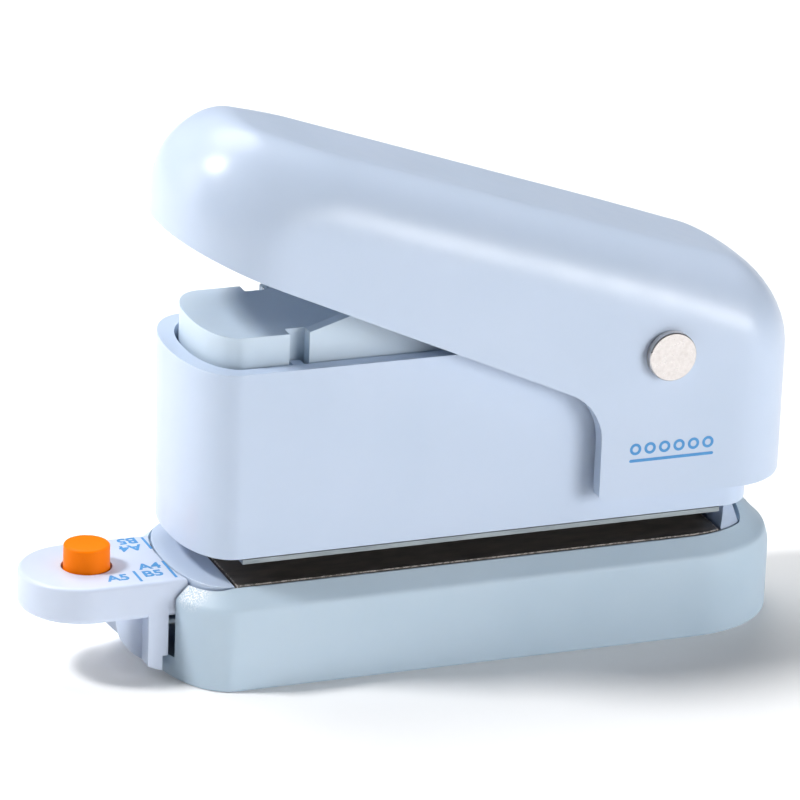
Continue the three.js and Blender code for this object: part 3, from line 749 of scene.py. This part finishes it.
def head_housing():
    shell = loft([(head_outline(-HEAD_DRAFT), HEAD_BOTTOM), (head_outline(HEAD_DRAFT), HEAD_TOP)])
    inner_floor = HEAD_BOTTOM + HEAD_FLOOR
    hollow = loft([
        (head_outline(-HEAD_WALL - 0.8), inner_floor),
        (head_outline(-HEAD_WALL), inner_floor + 0.8),
        (head_outline(-HEAD_WALL), HEAD_TOP + 10),
    ])
    opening_left = -34.6
    opening_right = 22.2
    opening_half = 6.6
    opening = box(opening_left, opening_right, -opening_half, opening_half, 0, 30)
    ears = join(
        rod_y(HINGE_X, HINGE_Z, EAR_RADIUS, -HEAD_HALF, HEAD_HALF),
        box(HINGE_X - EAR_RADIUS, HINGE_X + EAR_RADIUS, -HEAD_HALF, HEAD_HALF, 36, HINGE_Z),
    )
    between = HEAD_HALF - HEAD_WALL
    ears = cut(ears, box(0, 30, -between, between, 30, 60))
    ribs = pair(-26.8, -25.4, 7.6, HEAD_HALF - 0.5, HEAD_BOTTOM, HEAD_TOP - 0.25)
    bores = [rod_z(x, y, 1.5, 0, 30) for x, y in HEAD_SCREWS + GUIDE_SCREWS]
    pin_bore = rod_y(HINGE_X, HINGE_Z, PIN_HOLE, -PAST_SIDE, PAST_SIDE)
    housing = join(cut(shell, hollow, opening), ears, *ribs)
    housing = cut(housing, pin_bore, *bores)
    piece("housing_shell", eased(housing, 0.3), "base", SHELL, ["head_housing"])


# ---- handle cover -------------------------------------------------------------------------------


def outline_distance(x, y, outline):
    """Signed distance to a closed convex outline, negative inside."""
    start = np.array(outline)
    end = np.roll(start, -1, axis=0)
    along = end - start
    length = np.hypot(*along.T)
    keep = length > 1e-9
    start, along, length = start[keep], along[keep], length[keep]
    unit = along / length[:, None]
    dx = x[..., None] - start[:, 0]
    dy = y[..., None] - start[:, 1]
    reach = np.clip(dx * unit[:, 0] + dy * unit[:, 1], 0, length)
    away = np.hypot(dx - reach * unit[:, 0], dy - reach * unit[:, 1]).min(-1)
    beyond = (dx * unit[:, 1] - dy * unit[:, 0]).max(-1) > 0
    return np.where(beyond, away, -away)


COVER_PLAN = loaf(COVER_NOSE, COVER_BACK, COVER_HALF, end_left=11.5, end_right=10.5, power=2.2, steps=30)
COVER_SIDE_ROUND = 8.0
COVER_NOSE_ROUND = 13.0
COVER_BACK_ROUND = 9.0
NOSE_ROUND_FROM = -22        # the rounding changes from the sides' to the nose's from here on
NOSE_ROUND_RUN = 16
BACK_ROUND_FROM = 18         # and to the back's from here on
BACK_ROUND_RUN = 20
SKIN_ROWS = 46
RISE_SHARE = 0.4             # share of the rows over which the rays' roots rise to the spine
FAN = 34                     # rays round each end, the sides' last ones included


def top_height(x):
    return HINGE_Z + COVER_TOP / math.cos(TILT) - (x - HINGE_X) * math.tan(TILT)


def cover_round(x):
    """Radius of the top edge: tighter along the sides than at the nose and the back."""
    nose = (COVER_NOSE_ROUND - COVER_SIDE_ROUND) * eased_step((NOSE_ROUND_FROM - x) / NOSE_ROUND_RUN)
    back = (COVER_BACK_ROUND - COVER_SIDE_ROUND) * eased_step((x - BACK_ROUND_FROM) / BACK_ROUND_RUN)
    return COVER_SIDE_ROUND + nose + back


def cover_distance(x, y, z):
    """Roughly the signed distance to the cover's outer skin."""
    above = (z - top_height(x)) * math.cos(TILT)
    outside = outline_distance(x, y, COVER_PLAN)
    radius = cover_round(x)
    a = above + radius
    b = outside + radius
    return np.minimum(np.maximum(a, b), 0) + np.hypot(np.maximum(a, 0), np.maximum(b, 0)) - radius


def edge_height(x):
    """Height of the cover's sloping lower edge."""
    return SKIRT_Z0 - SKIRT_SLOPE * x


def side_edge():
    """(x, z) points along one side's lower edge, from the rear to the nose."""
    path = filleted(
        [
            (SPINE_REAR, COVER_BOTTOM),
            (SKIRT_X, COVER_BOTTOM),
            (SKIRT_X, edge_height(SKIRT_X)),
            (SPINE_NOSE, edge_height(SPINE_NOSE)),
        ],
        {1: 0.8, 2: SKIRT_RADIUS},
        steps=14,
    )
    return spaced(path, 0.9)


def spaced(path, spacing):
    """Points at an even spacing along a path."""
    path = np.array(path)
    run = np.concatenate([[0], np.cumsum(np.hypot(*np.diff(path, axis=0).T))])
    at = np.linspace(0, run[-1], int(run[-1] / spacing) + 1)
    return np.stack([np.interp(at, run, path[:, 0]), np.interp(at, run, path[:, 1])], axis=1)


def cover_columns():
    """For each column of the skin: edge x, edge z (or nan), spine x and direction in plan."""
    edge = side_edge()
    spine = np.linspace(SPINE_REAR, SPINE_NOSE, len(edge))
    nose_turn = np.radians(np.linspace(-90, -270, FAN)[1:-1])
    rear_turn = np.radians(np.linspace(90, -90, FAN)[1:-1])
    front = [(x, z, s, -math.pi / 2) for (x, z), s in zip(edge, spine)]
    nose = [(SPINE_NOSE, math.nan, SPINE_NOSE, turn) for turn in nose_turn]
    far = [(x, z, s, math.pi / 2) for (x, z), s in zip(edge[::-1], spine[::-1])]
    rear = [(SPINE_REAR, COVER_BOTTOM, SPINE_REAR, turn) for turn in rear_turn]
    return np.array(front + nose + far + rear)


def skin_points(inset):
    """Rows of points on the cover's skin: row 0 on the lower edge, the last one on the spine."""
    edge_x, edge_z, spine_x, turn = cover_columns().T
    on_nose = np.isnan(edge_z)
    edge_z[on_nose] = nose_edge(turn[on_nose], inset)
    v = np.linspace(0, 1, SKIN_ROWS)[:, None]
    rise = np.minimum(v / RISE_SHARE, 1)
    tilt = v * math.pi / 2
    direction = np.stack(
        [np.cos(tilt) * np.cos(turn), np.cos(tilt) * np.sin(turn), np.sin(tilt) * np.ones_like(turn)]
    )
    x = edge_x + (spine_x - edge_x) * rise
    hub = top_height(x) - cover_round(x) - 1
    origin = np.stack([x, 0 * x, edge_z + (hub - edge_z) * rise])
    return origin + ray_reach(origin, direction, inset) * direction


def nose_edge(turn, inset):
    """Heights at which level rays round the nose meet the skin on its sloping lower edge."""
    z = np.full(turn.shape, edge_height(COVER_NOSE))
    direction = np.stack([np.cos(turn), np.sin(turn), 0 * turn])
    for _ in range(5):
        origin = np.stack([0 * z + SPINE_NOSE, 0 * z, z])
        z = edge_height((origin + ray_reach(origin, direction, inset) * direction)[0])
    return z


def ray_reach(origin, direction, inset):
    """How far each ray goes to the skin, found by halving."""
    near = np.zeros(origin.shape[1:])
    far = np.full(origin.shape[1:], 60.0)
    for _ in range(22):
        mid = (near + far) / 2
        inside = cover_distance(*(origin + mid * direction)) + inset < 0
        near = np.where(inside, mid, near)
        far = np.where(inside, far, mid)
    return (near + far) / 2


def handle_cover():
    outer = skin_points(0)
    inner = skin_points(COVER_WALL)
    _, rows, columns = outer.shape
    points = np.concatenate([outer.reshape(3, -1).T, inner.reshape(3, -1).T])
    second = rows * columns
    faces = []
    for i in range(columns):
        j = (i + 1) % columns
        for row in range(rows - 1):
            below = row * columns
            above = below + columns
            face = (below + i, below + j, above + j, above + i)
            faces.append(face)
            faces.append(tuple(second + face[corner] for corner in (1, 0, 3, 2)))
        faces.append((j, i, second + i, second + j))
    pin_bore = rod_y(HINGE_X, HINGE_Z, PIN_HOLE, -PAST_SIDE, PAST_SIDE)
    shell = cut(solid(points, faces), pin_bore)
    piece("cover_shell", eased(shell, 0.38, 4, 50), "handle", SHELL, ["handle_cover"])


def from_hinge(u, w):
    """A point in the handle's own axes: u towards the nose, w square to the straight top."""
    return (
        HINGE_X - u * math.cos(TILT) + w * math.sin(TILT),
        HINGE_Z + u * math.sin(TILT) + w * math.cos(TILT),
    )


def along_top(mesh, u, w):
    """Stands a mesh built about Z on the lever, square to the handle's straight top."""
    x, z = from_hinge(u, w)
    return moved(mesh, Matrix.Translation((x, 0, z)) @ Matrix.Rotation(TILT, 4, "Y"))


LEVER_TOP = 9.2
LEVER_THICK = 1.5
LEVER_SCREWS = (9, 17)


def cover_inside():
    """Screw bosses with their crossed webs."""
    tall = COVER_TOP - COVER_WALL + 0.4 - (LEVER_TOP + GAP)
    parts = []
    for u in LEVER_SCREWS:
        boss = cut(rod_z(0, 0, 2.4, 0, tall), rod_z(0, 0, 1.2, -1, tall - 0.4))
        webs = [box(-4.6, 4.6, -0.5, 0.5, 0.6, tall), box(-0.5, 0.5, -4.6, 4.6, 0.6, tall)]
        webs = [cut(web, rod_z(0, 0, 1.4, -1, tall + 1)) for web in webs]
        parts.append(along_top(join(boss, *webs), u, LEVER_TOP + GAP))
    bosses = join(parts[0], *parts[1:])
    piece("cover_bosses", eased(bosses, 0.15, 2), "handle", SHELL)


# ---- lever, hinge pin and screws ----------------------------------------------------------------


def hinge_pin():
    thick = 1.1
    head = turned([
        (0, 0),
        (PIN_HEAD_RADIUS - 0.12, 0),
        (PIN_HEAD_RADIUS, 0.14),
        (PIN_HEAD_RADIUS, thick),
        (0, thick),
    ])
    place = Matrix.Translation((HINGE_X, PIN_FRONT, HINGE_Z))
    head = moved(head, place @ Matrix.Rotation(-math.pi / 2, 4, "X"))
    shank_end = CAP_BACK - 0.4
    shank = rod_y(HINGE_X, HINGE_Z, PIN_RADIUS, PIN_FRONT + 0.5, shank_end)
    piece("pin_disc", smooth(join(head, shank), 25), "base", NICKEL, ["hinge_pin"])
    cap = cut(
        rod_y(HINGE_X, HINGE_Z, PIN_HEAD_RADIUS, COVER_HALF + 0.1, CAP_BACK),
        rod_y(HINGE_X, HINGE_Z, PIN_RADIUS + 0.15, COVER_HALF - 1, CAP_BACK + 1),
    )
    piece("pin_collar", eased(cap, 0.12, 3), "base", NICKEL, ["pin_cap"])


def pan_head(radius, tall, shank_radius, long, recess_depth):
    """A screw pointing up from the origin, with a chamfered head and a cross recess."""
    head = turned([(0, 0), (radius - 0.3, 0), (radius, 0.3), (radius, tall), (0, tall)], 48)
    shank = rod_z(0, 0, shank_radius, tall / 2, long, 32)
    arm = 1.1
    half_slot = 0.22
    recess = [
        box(-arm, arm, -half_slot, half_slot, -1, recess_depth),
        box(-half_slot, half_slot, -arm, arm, -1, recess_depth),
    ]
    return cut(join(head, shank), *recess)


def screw(name, node, head_radius, head_tall, shank_radius):
    """A screw driven upwards, where its CAD node stands."""
    x, y, z0 = low(node)
    x1, y1, z1 = high(node)
    centre = ((x + x1) / 2, (y + y1) / 2)
    made = pan_head(head_radius, head_tall, shank_radius, z1 - z0, head_tall * 0.6)
    made = moved(made, Matrix.Translation((*centre, z0)))
    piece(name, smooth(made, 30), "base", STEEL, [node])


def screws():
    for i in (1, 2):
        screw(f"long_screw_{i}", f"head_screw_{i}", head_radius=1.7, head_tall=1.4, shank_radius=1.0)
        screw(f"short_screw_{i}", f"guide_screw_{i}", head_radius=2.0, head_tall=0.6, shank_radius=1.0)


def lever_screws():
    under = LEVER_TOP - LEVER_THICK - GAP
    head_tall = 1.3
    for i, u in enumerate(LEVER_SCREWS, start=1):
        bolt = pan_head(2.1, head_tall, 0.95, head_tall + 3.2, 0.8)
        made = along_top(bolt, u, under - head_tall)
        node = f"lever_screw_{i}"
        piece(f"lever_bolt_{i}", smooth(made, 30), "handle", STEEL, [node])


# ---- press block and punches --------------------------------------------------------------------


def press_block():
    plan = loaf(BLOCK_LEFT, BLOCK_RIGHT, BLOCK_HALF, 4.6, 0.5, power=2.3)
    whole = upright(plan, BLOCK_BOTTOM, PAD_TOP)
    past_right = 40
    notch = pair(PAD_RIGHT, NOTCH_RIGHT, NOTCH_DEPTH, PAST_SIDE, 0, PAST_TOP)
    cheek_in = BLOCK_HALF - CHEEK_THICK
    beside = pair(NOTCH_RIGHT, past_right, cheek_in, PAST_SIDE, PAD_TOP - 1.5, PAST_TOP)
    channel = pair(-10, past_right, BEAM_HALF, cheek_in, CHANNEL_FLOOR, PAST_TOP)
    side = [
        (NOTCH_RIGHT, CHEEK_BOTTOM),
        (CHEEK_END, CHEEK_BOTTOM),
        (CHEEK_END, 45),
        (CHEEK_END - 3, CHEEK_TOP),
        (-13, CHEEK_TOP),
        (NOTCH_RIGHT, PAD_TOP),
    ]
    cheeks = cut(
        across(filleted(side, {3: 2, 4: 3}), -BLOCK_HALF, BLOCK_HALF),
        box(-past_right, past_right, -cheek_in, cheek_in, 0, PAST_TOP),
    )
    body = join(cut(whole, *notch, *beside, *channel), cheeks)
    piece("press_body", eased(body, 0.42, 4), "press", BLOCK, ["press_block"])


def punches():
    for i, x in enumerate(HOLE_XS, start=1):
        node = f"punch_{i}"
        tip, top = low(node)[2], high(node)[2]
        shaft = rod_z(x, 0, PUNCH_RADIUS, tip, top, 72)
        reach = PUNCH_RADIUS + 1.05
        edge = tip - 0.4
        valley_side = [
            (x - reach, tip - 1),
            (x + reach, tip - 1),
            (x + reach, edge),
            (x, tip + 1),
            (x - reach, edge),
        ]
        valley = across(valley_side, -reach, reach)
        piece(f"cutter_{i}", smooth(cut(shaft, valley), 30), "press", NICKEL, [node])


UP = np.array([0, 0, 1])


def helix(name, node, coil_radius, top_radius, wire, turns, body):
    """A wire spring along its helix, between its CAD node's ends."""
    x, y, _ = middle(node)
    z0, z1 = low(node)[2], high(node)[2]
    steps = turns * 28
    sides = 10
    points = []
    faces = []
    for step in range(steps + 1):
        t = step / steps
        angle = t * turns * math.tau
        radius = coil_radius + (top_radius - coil_radius) * t
        out = np.array([math.cos(angle), math.sin(angle), 0])
        centre = np.array([x, y, z0 + wire + (z1 - z0 - 2 * wire) * t]) + radius * out
        for side in range(sides):
            spin = side / sides * math.tau
            points.append(centre + wire * (math.cos(spin) * out + math.sin(spin) * UP))
    for step in range(steps):
        for side in range(sides):
            a = step * sides + side
            b = step * sides + (side + 1) % sides
            faces.append((a, b, b + sides, a + sides))
    faces.append(tuple(range(sides)))
    faces.append(tuple(range(steps * sides, (steps + 1) * sides)))
    made = piece(name, smooth(solid(points, faces), 50), body, SPRING, [node])
    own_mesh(made)


def springs():
    for i in (1, 2):
        node = f"return_spring_{i}"
        helix(f"coil_{i}", node, 1.15, 1.15, 0.28, 9, "base")
    helix("peg_coil", "peg_spring", 3.5, 2.3, 0.16, 2, "gauge")


# ---- gauge and peg ------------------------------------------------------------------------------


def tab_outline(inset):
    """The tab in plan: a half disc at the left and straight sides."""
    radius = TAB_RADIUS - inset
    centre = TAB_LEFT - TAB_GROW + TAB_RADIUS
    turns = np.radians(np.linspace(90, 270, 48))
    arc = [(centre + radius * math.cos(t), radius * math.sin(t)) for t in turns]
    return arc + [(BLADE_RIGHT, -radius), (BLADE_RIGHT, radius)]


def gauge_tab():
    profile = filleted(
        [(3, TAB_BOTTOM), (0, TAB_BOTTOM), (0, TAB_TOP), (3, TAB_TOP)],
        {1: 0.8, 2: 0.55},
    )
    return loft([(tab_outline(inset), z) for inset, z in profile])


def gauge_web():
    """The rounded rib under the tab."""
    disc = rod_y(*WEB_CENTRE, WEB_RADIUS, -WEB_HALF, WEB_HALF, 96)
    return common(disc, box(PAST_NOSE, STRIP_LEFT + 0.5, -WEB_HALF, WEB_HALF, 0, TAB_BOTTOM + 0.6))


def gauge_strip():
    """The full-width strip between the tab and the tray: a rounded foot and a square upper part."""
    web_z = WEB_CENTRE[1]
    disc = rod_y(*WEB_CENTRE, WEB_RADIUS, -TAB_RADIUS, TAB_RADIUS, 96)
    foot = common(disc, box(STRIP_LEFT, STRIP_RIGHT, -TAB_RADIUS, TAB_RADIUS, 0, web_z))
    notch_left = STRIP_LEFT + 0.5
    notch_right = STRIP_RIGHT + STRIP_OVERLAP
    notch_floor = GAUGE_NOTCH_FLOOR + GAP
    upper = join(
        box(STRIP_LEFT, STRIP_RIGHT, -TAB_RADIUS, TAB_RADIUS, web_z - 0.5, RAIL_TOP),
        box(notch_left, notch_right, -TAB_RADIUS, TAB_RADIUS, notch_floor, TAB_TOP - 1.2),
    )
    return join(foot, upper)


def gauge():
    deck_room = upright(round_nosed(DECK_LEFT - GAP, 0, DECK_HALF + GAP), RAIL_TOP, PAST_BASE)
    wells = [
        rod_z(PEG_X, 0, PEG_RADIUS + 0.32, 0, PAST_BASE),
        rod_z(PEG_X, 0, 4.5, 0, 11.7),
        rod_z(PEG_X, 0, 5.5, 0, 8.75),
    ]
    tab = cut(join(gauge_tab(), gauge_web()), deck_room, *wells)
    top = join(tab, cut(gauge_strip(), deck_room))
    blade = box(STRIP_RIGHT - 0.4, BLADE_RIGHT, -TAB_HALF, TAB_HALF, RUNNER_BOTTOM, RAIL_TOP)
    rails = pair(-38, -13, 5.2, TAB_HALF, RUNNER_BOTTOM, RAIL_TOP)
    runner = join(blade, *rails)
    piece("gauge_tab", eased(top, 0.12, 3, 40), "gauge", GAUGE, ["gauge_slide"])
    piece("gauge_runner", eased(runner, 0.15, 2), "gauge", GAUGE)


def peg():
    flange_top = PEG_FOOT + 0.9
    profile = filleted(
        [
            (0, PEG_FOOT),
            (PEG_FLANGE, PEG_FOOT),
            (PEG_FLANGE, flange_top),
            (PEG_RADIUS + 0.1, flange_top),
            (PEG_RADIUS, DECK_Z + 0.6),
            (PEG_RADIUS, PEG_TOP),
            (0, PEG_TOP),
        ],
        {2: 0.2, 5: 0.35},
    )
    made = moved(turned(profile, 96), Matrix.Translation((PEG_X, 0, 0)))
    piece("peg_button", smooth(made, 40), "peg", ORANGE, ["locating_peg"])


# ---- printed marks ------------------------------------------------------------------------------

INK = 0.03                   # height of the ink above the plastic
INK_ROOT = 0.02              # and how far it reaches into it
MARK_SIZE = 2.5
LINE_HALF = 0.16


def lettering(words, size):
    """A word as thin raised ink, its middle at the origin, reading along +X."""
    curve = bpy.data.curves.new("word", "FONT")
    curve.body = words
    curve.size = size
    curve.extrude = INK / 2
    curve.offset = size * 0.026
    curve.align_x = "CENTER"
    curve.align_y = "CENTER"
    holder = bpy.data.objects.new("word", curve)
    bpy.context.scene.collection.objects.link(holder)
    return applied(holder)


def as_one(meshes):
    form = bmesh.new()
    for mesh in meshes:
        form.from_mesh(mesh)
    whole = bpy.data.meshes.new("marks")
    form.to_mesh(whole)
    form.free()
    return whole


def gauge_marks():
    """Paper sizes beside their lines on the tab, on the near side and turned round on the far side."""
    z = TAB_TOP + INK / 2
    words = [                # text, x, y and turn
        ("A4", -42.75, -2.45, 0),
        ("B5", -43.05, -4.85, 0),
        ("A5", -47.7, -5.05, 0),
        ("A4", -43.1, 4.0, math.pi),
        ("B5", -42.8, 6.35, math.pi),
    ]
    marks = []
    for text, x, y, turn in words:
        place = Matrix.Translation((x, y, z)) @ Matrix.Rotation(turn, 4, "Z")
        marks.append(moved(lettering(text, MARK_SIZE), place))
    lines = [(-40.62, -6.8, -1.3), (-45.17, -6.85, -3.45), (-40.62, 3.0, 6.9)]
    for x, y0, y1 in lines:
        ink = box(x - LINE_HALF, x + LINE_HALF, y0, y1, TAB_TOP - INK_ROOT, TAB_TOP + INK)
        marks.append(ink)
    piece("size_marks", as_one(marks), "gauge", PRINT)


def cover_mark():
    """A row of six small rings, one for each hole the punch makes, printed under the pin."""
    centre_x = 22.6
    centre_z = 27.0
    pitch = 2.0
    outer = 0.78
    inner = 0.42
    face = -COVER_HALF
    rings = []
    for i in range(6):
        x = centre_x + (i - 2.5) * pitch
        rings.append(cut(
            rod_y(x, centre_z, outer, face - INK, face + INK_ROOT, 40),
            rod_y(x, centre_z, inner, face - 1, face + 1, 40),
        ))
    rule_half = 5.8
    rule_low = centre_z - 1.75
    rule_high = centre_z - 1.35
    rule = filleted(
        [
            (centre_x - rule_half, rule_low),
            (centre_x + rule_half, rule_low),
            (centre_x + rule_half, rule_high),
            (centre_x - rule_half, rule_high),
        ],
        {i: 0.19 for i in range(4)},
        steps=5,
    )
    rings.append(across(rule, face - INK, face + INK_ROOT))
    piece("hole_mark", as_one(rings), "handle", PRINT)


# ---- CAD nodes that stay ------------------------------------------------------------------------


def kept_nodes():
    finishes = {
        "punch_guide": (INNER, 0.3),
        "head_bracket": (STEEL, 0.15),
        "press_lever": (STEEL, 0.15),
        "press_pin": (STEEL, 0.15),
        "punch_holder": (STEEL, 0.15),
        "peg_plate": (INNER, 0.12),
    }
    for name, (material, width) in finishes.items():
        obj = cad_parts[name]
        obj.data.materials.clear()
        obj.data.materials.append(material)
        step = obj.modifiers.new("ease", "BEVEL")
        step.width = width * MM
        step.segments = 2
        step.limit_method = "ANGLE"
        step.angle_limit = math.radians(40)


# ---- floor, light and camera --------------------------------------------------------------------


def floor():
    mesh = bpy.data.meshes.new("floor")
    reach = 3.0
    corners = [(-reach, -reach, 0), (reach, -reach, 0), (reach, reach, 0), (-reach, reach, 0)]
    mesh.from_pydata(corners, [], [(0, 1, 2, 3)])
    obj = bpy.data.objects.new("floor", mesh)
    bpy.context.scene.collection.objects.link(obj)
    nodes = Nodes("floor_white")
    nodes.set(Base_Color=(0.95, 0.95, 0.95, 1), Roughness=0.9, Specular_IOR_Level=0.1)
    nodes.set(Emission_Color=(1, 1, 1, 1), Emission_Strength=0.05)
    mesh.materials.append(nodes.material)


LOOK_AT = Vector((-9.63, -2.03, 31.9)) * MM


def soft_light(name, direction, distance, size, power, colour=(1, 1, 1)):
    data = bpy.data.lights.new(name, "AREA")
    data.shape = "DISK"
    data.size = size
    data.energy = power
    data.color = colour
    lamp = bpy.data.objects.new(name, data)
    bpy.context.scene.collection.objects.link(lamp)
    lamp.location = LOOK_AT + Vector(direction).normalized() * distance
    lamp.rotation_euler = (lamp.location - LOOK_AT).to_track_quat("Z", "Y").to_euler()


def lights():
    soft_light("spark", (-0.74, 0.22, 0.88), 0.9, 0.17, 6.4)
    soft_light("left_soft", (-0.9, 0.42, 0.3), 0.9, 0.5, 1.8)
    soft_light("front_soft", (0.85, -0.7, 0.35), 1.1, 0.6, 1.2)
    soft_light("front_low", (0.66, -0.92, 0.12), 1.1, 0.6, 8.6)
    soft_light("top_soft", (0, 0.5, 0.86), 1.0, 0.8, 6.8)
    world = bpy.data.worlds.new("studio")
    world.use_nodes = True
    background = world.node_tree.nodes["Background"]
    background.inputs["Color"].default_value = (0.95, 0.97, 1.0, 1)
    background.inputs["Strength"].default_value = 0.01
    bpy.context.scene.world = world


def camera():
    data = bpy.data.cameras.new("view")
    data.sensor_width = 36
    data.lens = 235.5
    data.clip_start = 0.05
    data.clip_end = 20
    obj = bpy.data.objects.new("view", data)
    bpy.context.scene.collection.objects.link(obj)
    azimuth, elevation, roll = (math.radians(a) for a in (-21.82, 20.41, 2.12))
    distance = 660.3 * MM
    back = Vector((
        math.sin(azimuth) * math.cos(elevation),
        -math.cos(azimuth) * math.cos(elevation),
        math.sin(elevation),
    ))
    obj.location = LOOK_AT + back * distance
    obj.rotation_euler = (back.to_track_quat("Z", "Y").to_matrix() @ Matrix.Rotation(roll, 3, "Z")).to_euler()
    bpy.context.scene.camera = obj


chip_tray()
deck_end()
base_frame()
plates()
head_housing()
handle_cover()
cover_inside()
hinge_pin()
screws()
lever_screws()
press_block()
punches()
springs()
gauge()
peg()
gauge_marks()
cover_mark()
kept_nodes()
floor()
lights()
camera()
bpy.context.scene.view_settings.view_transform = "Standard"
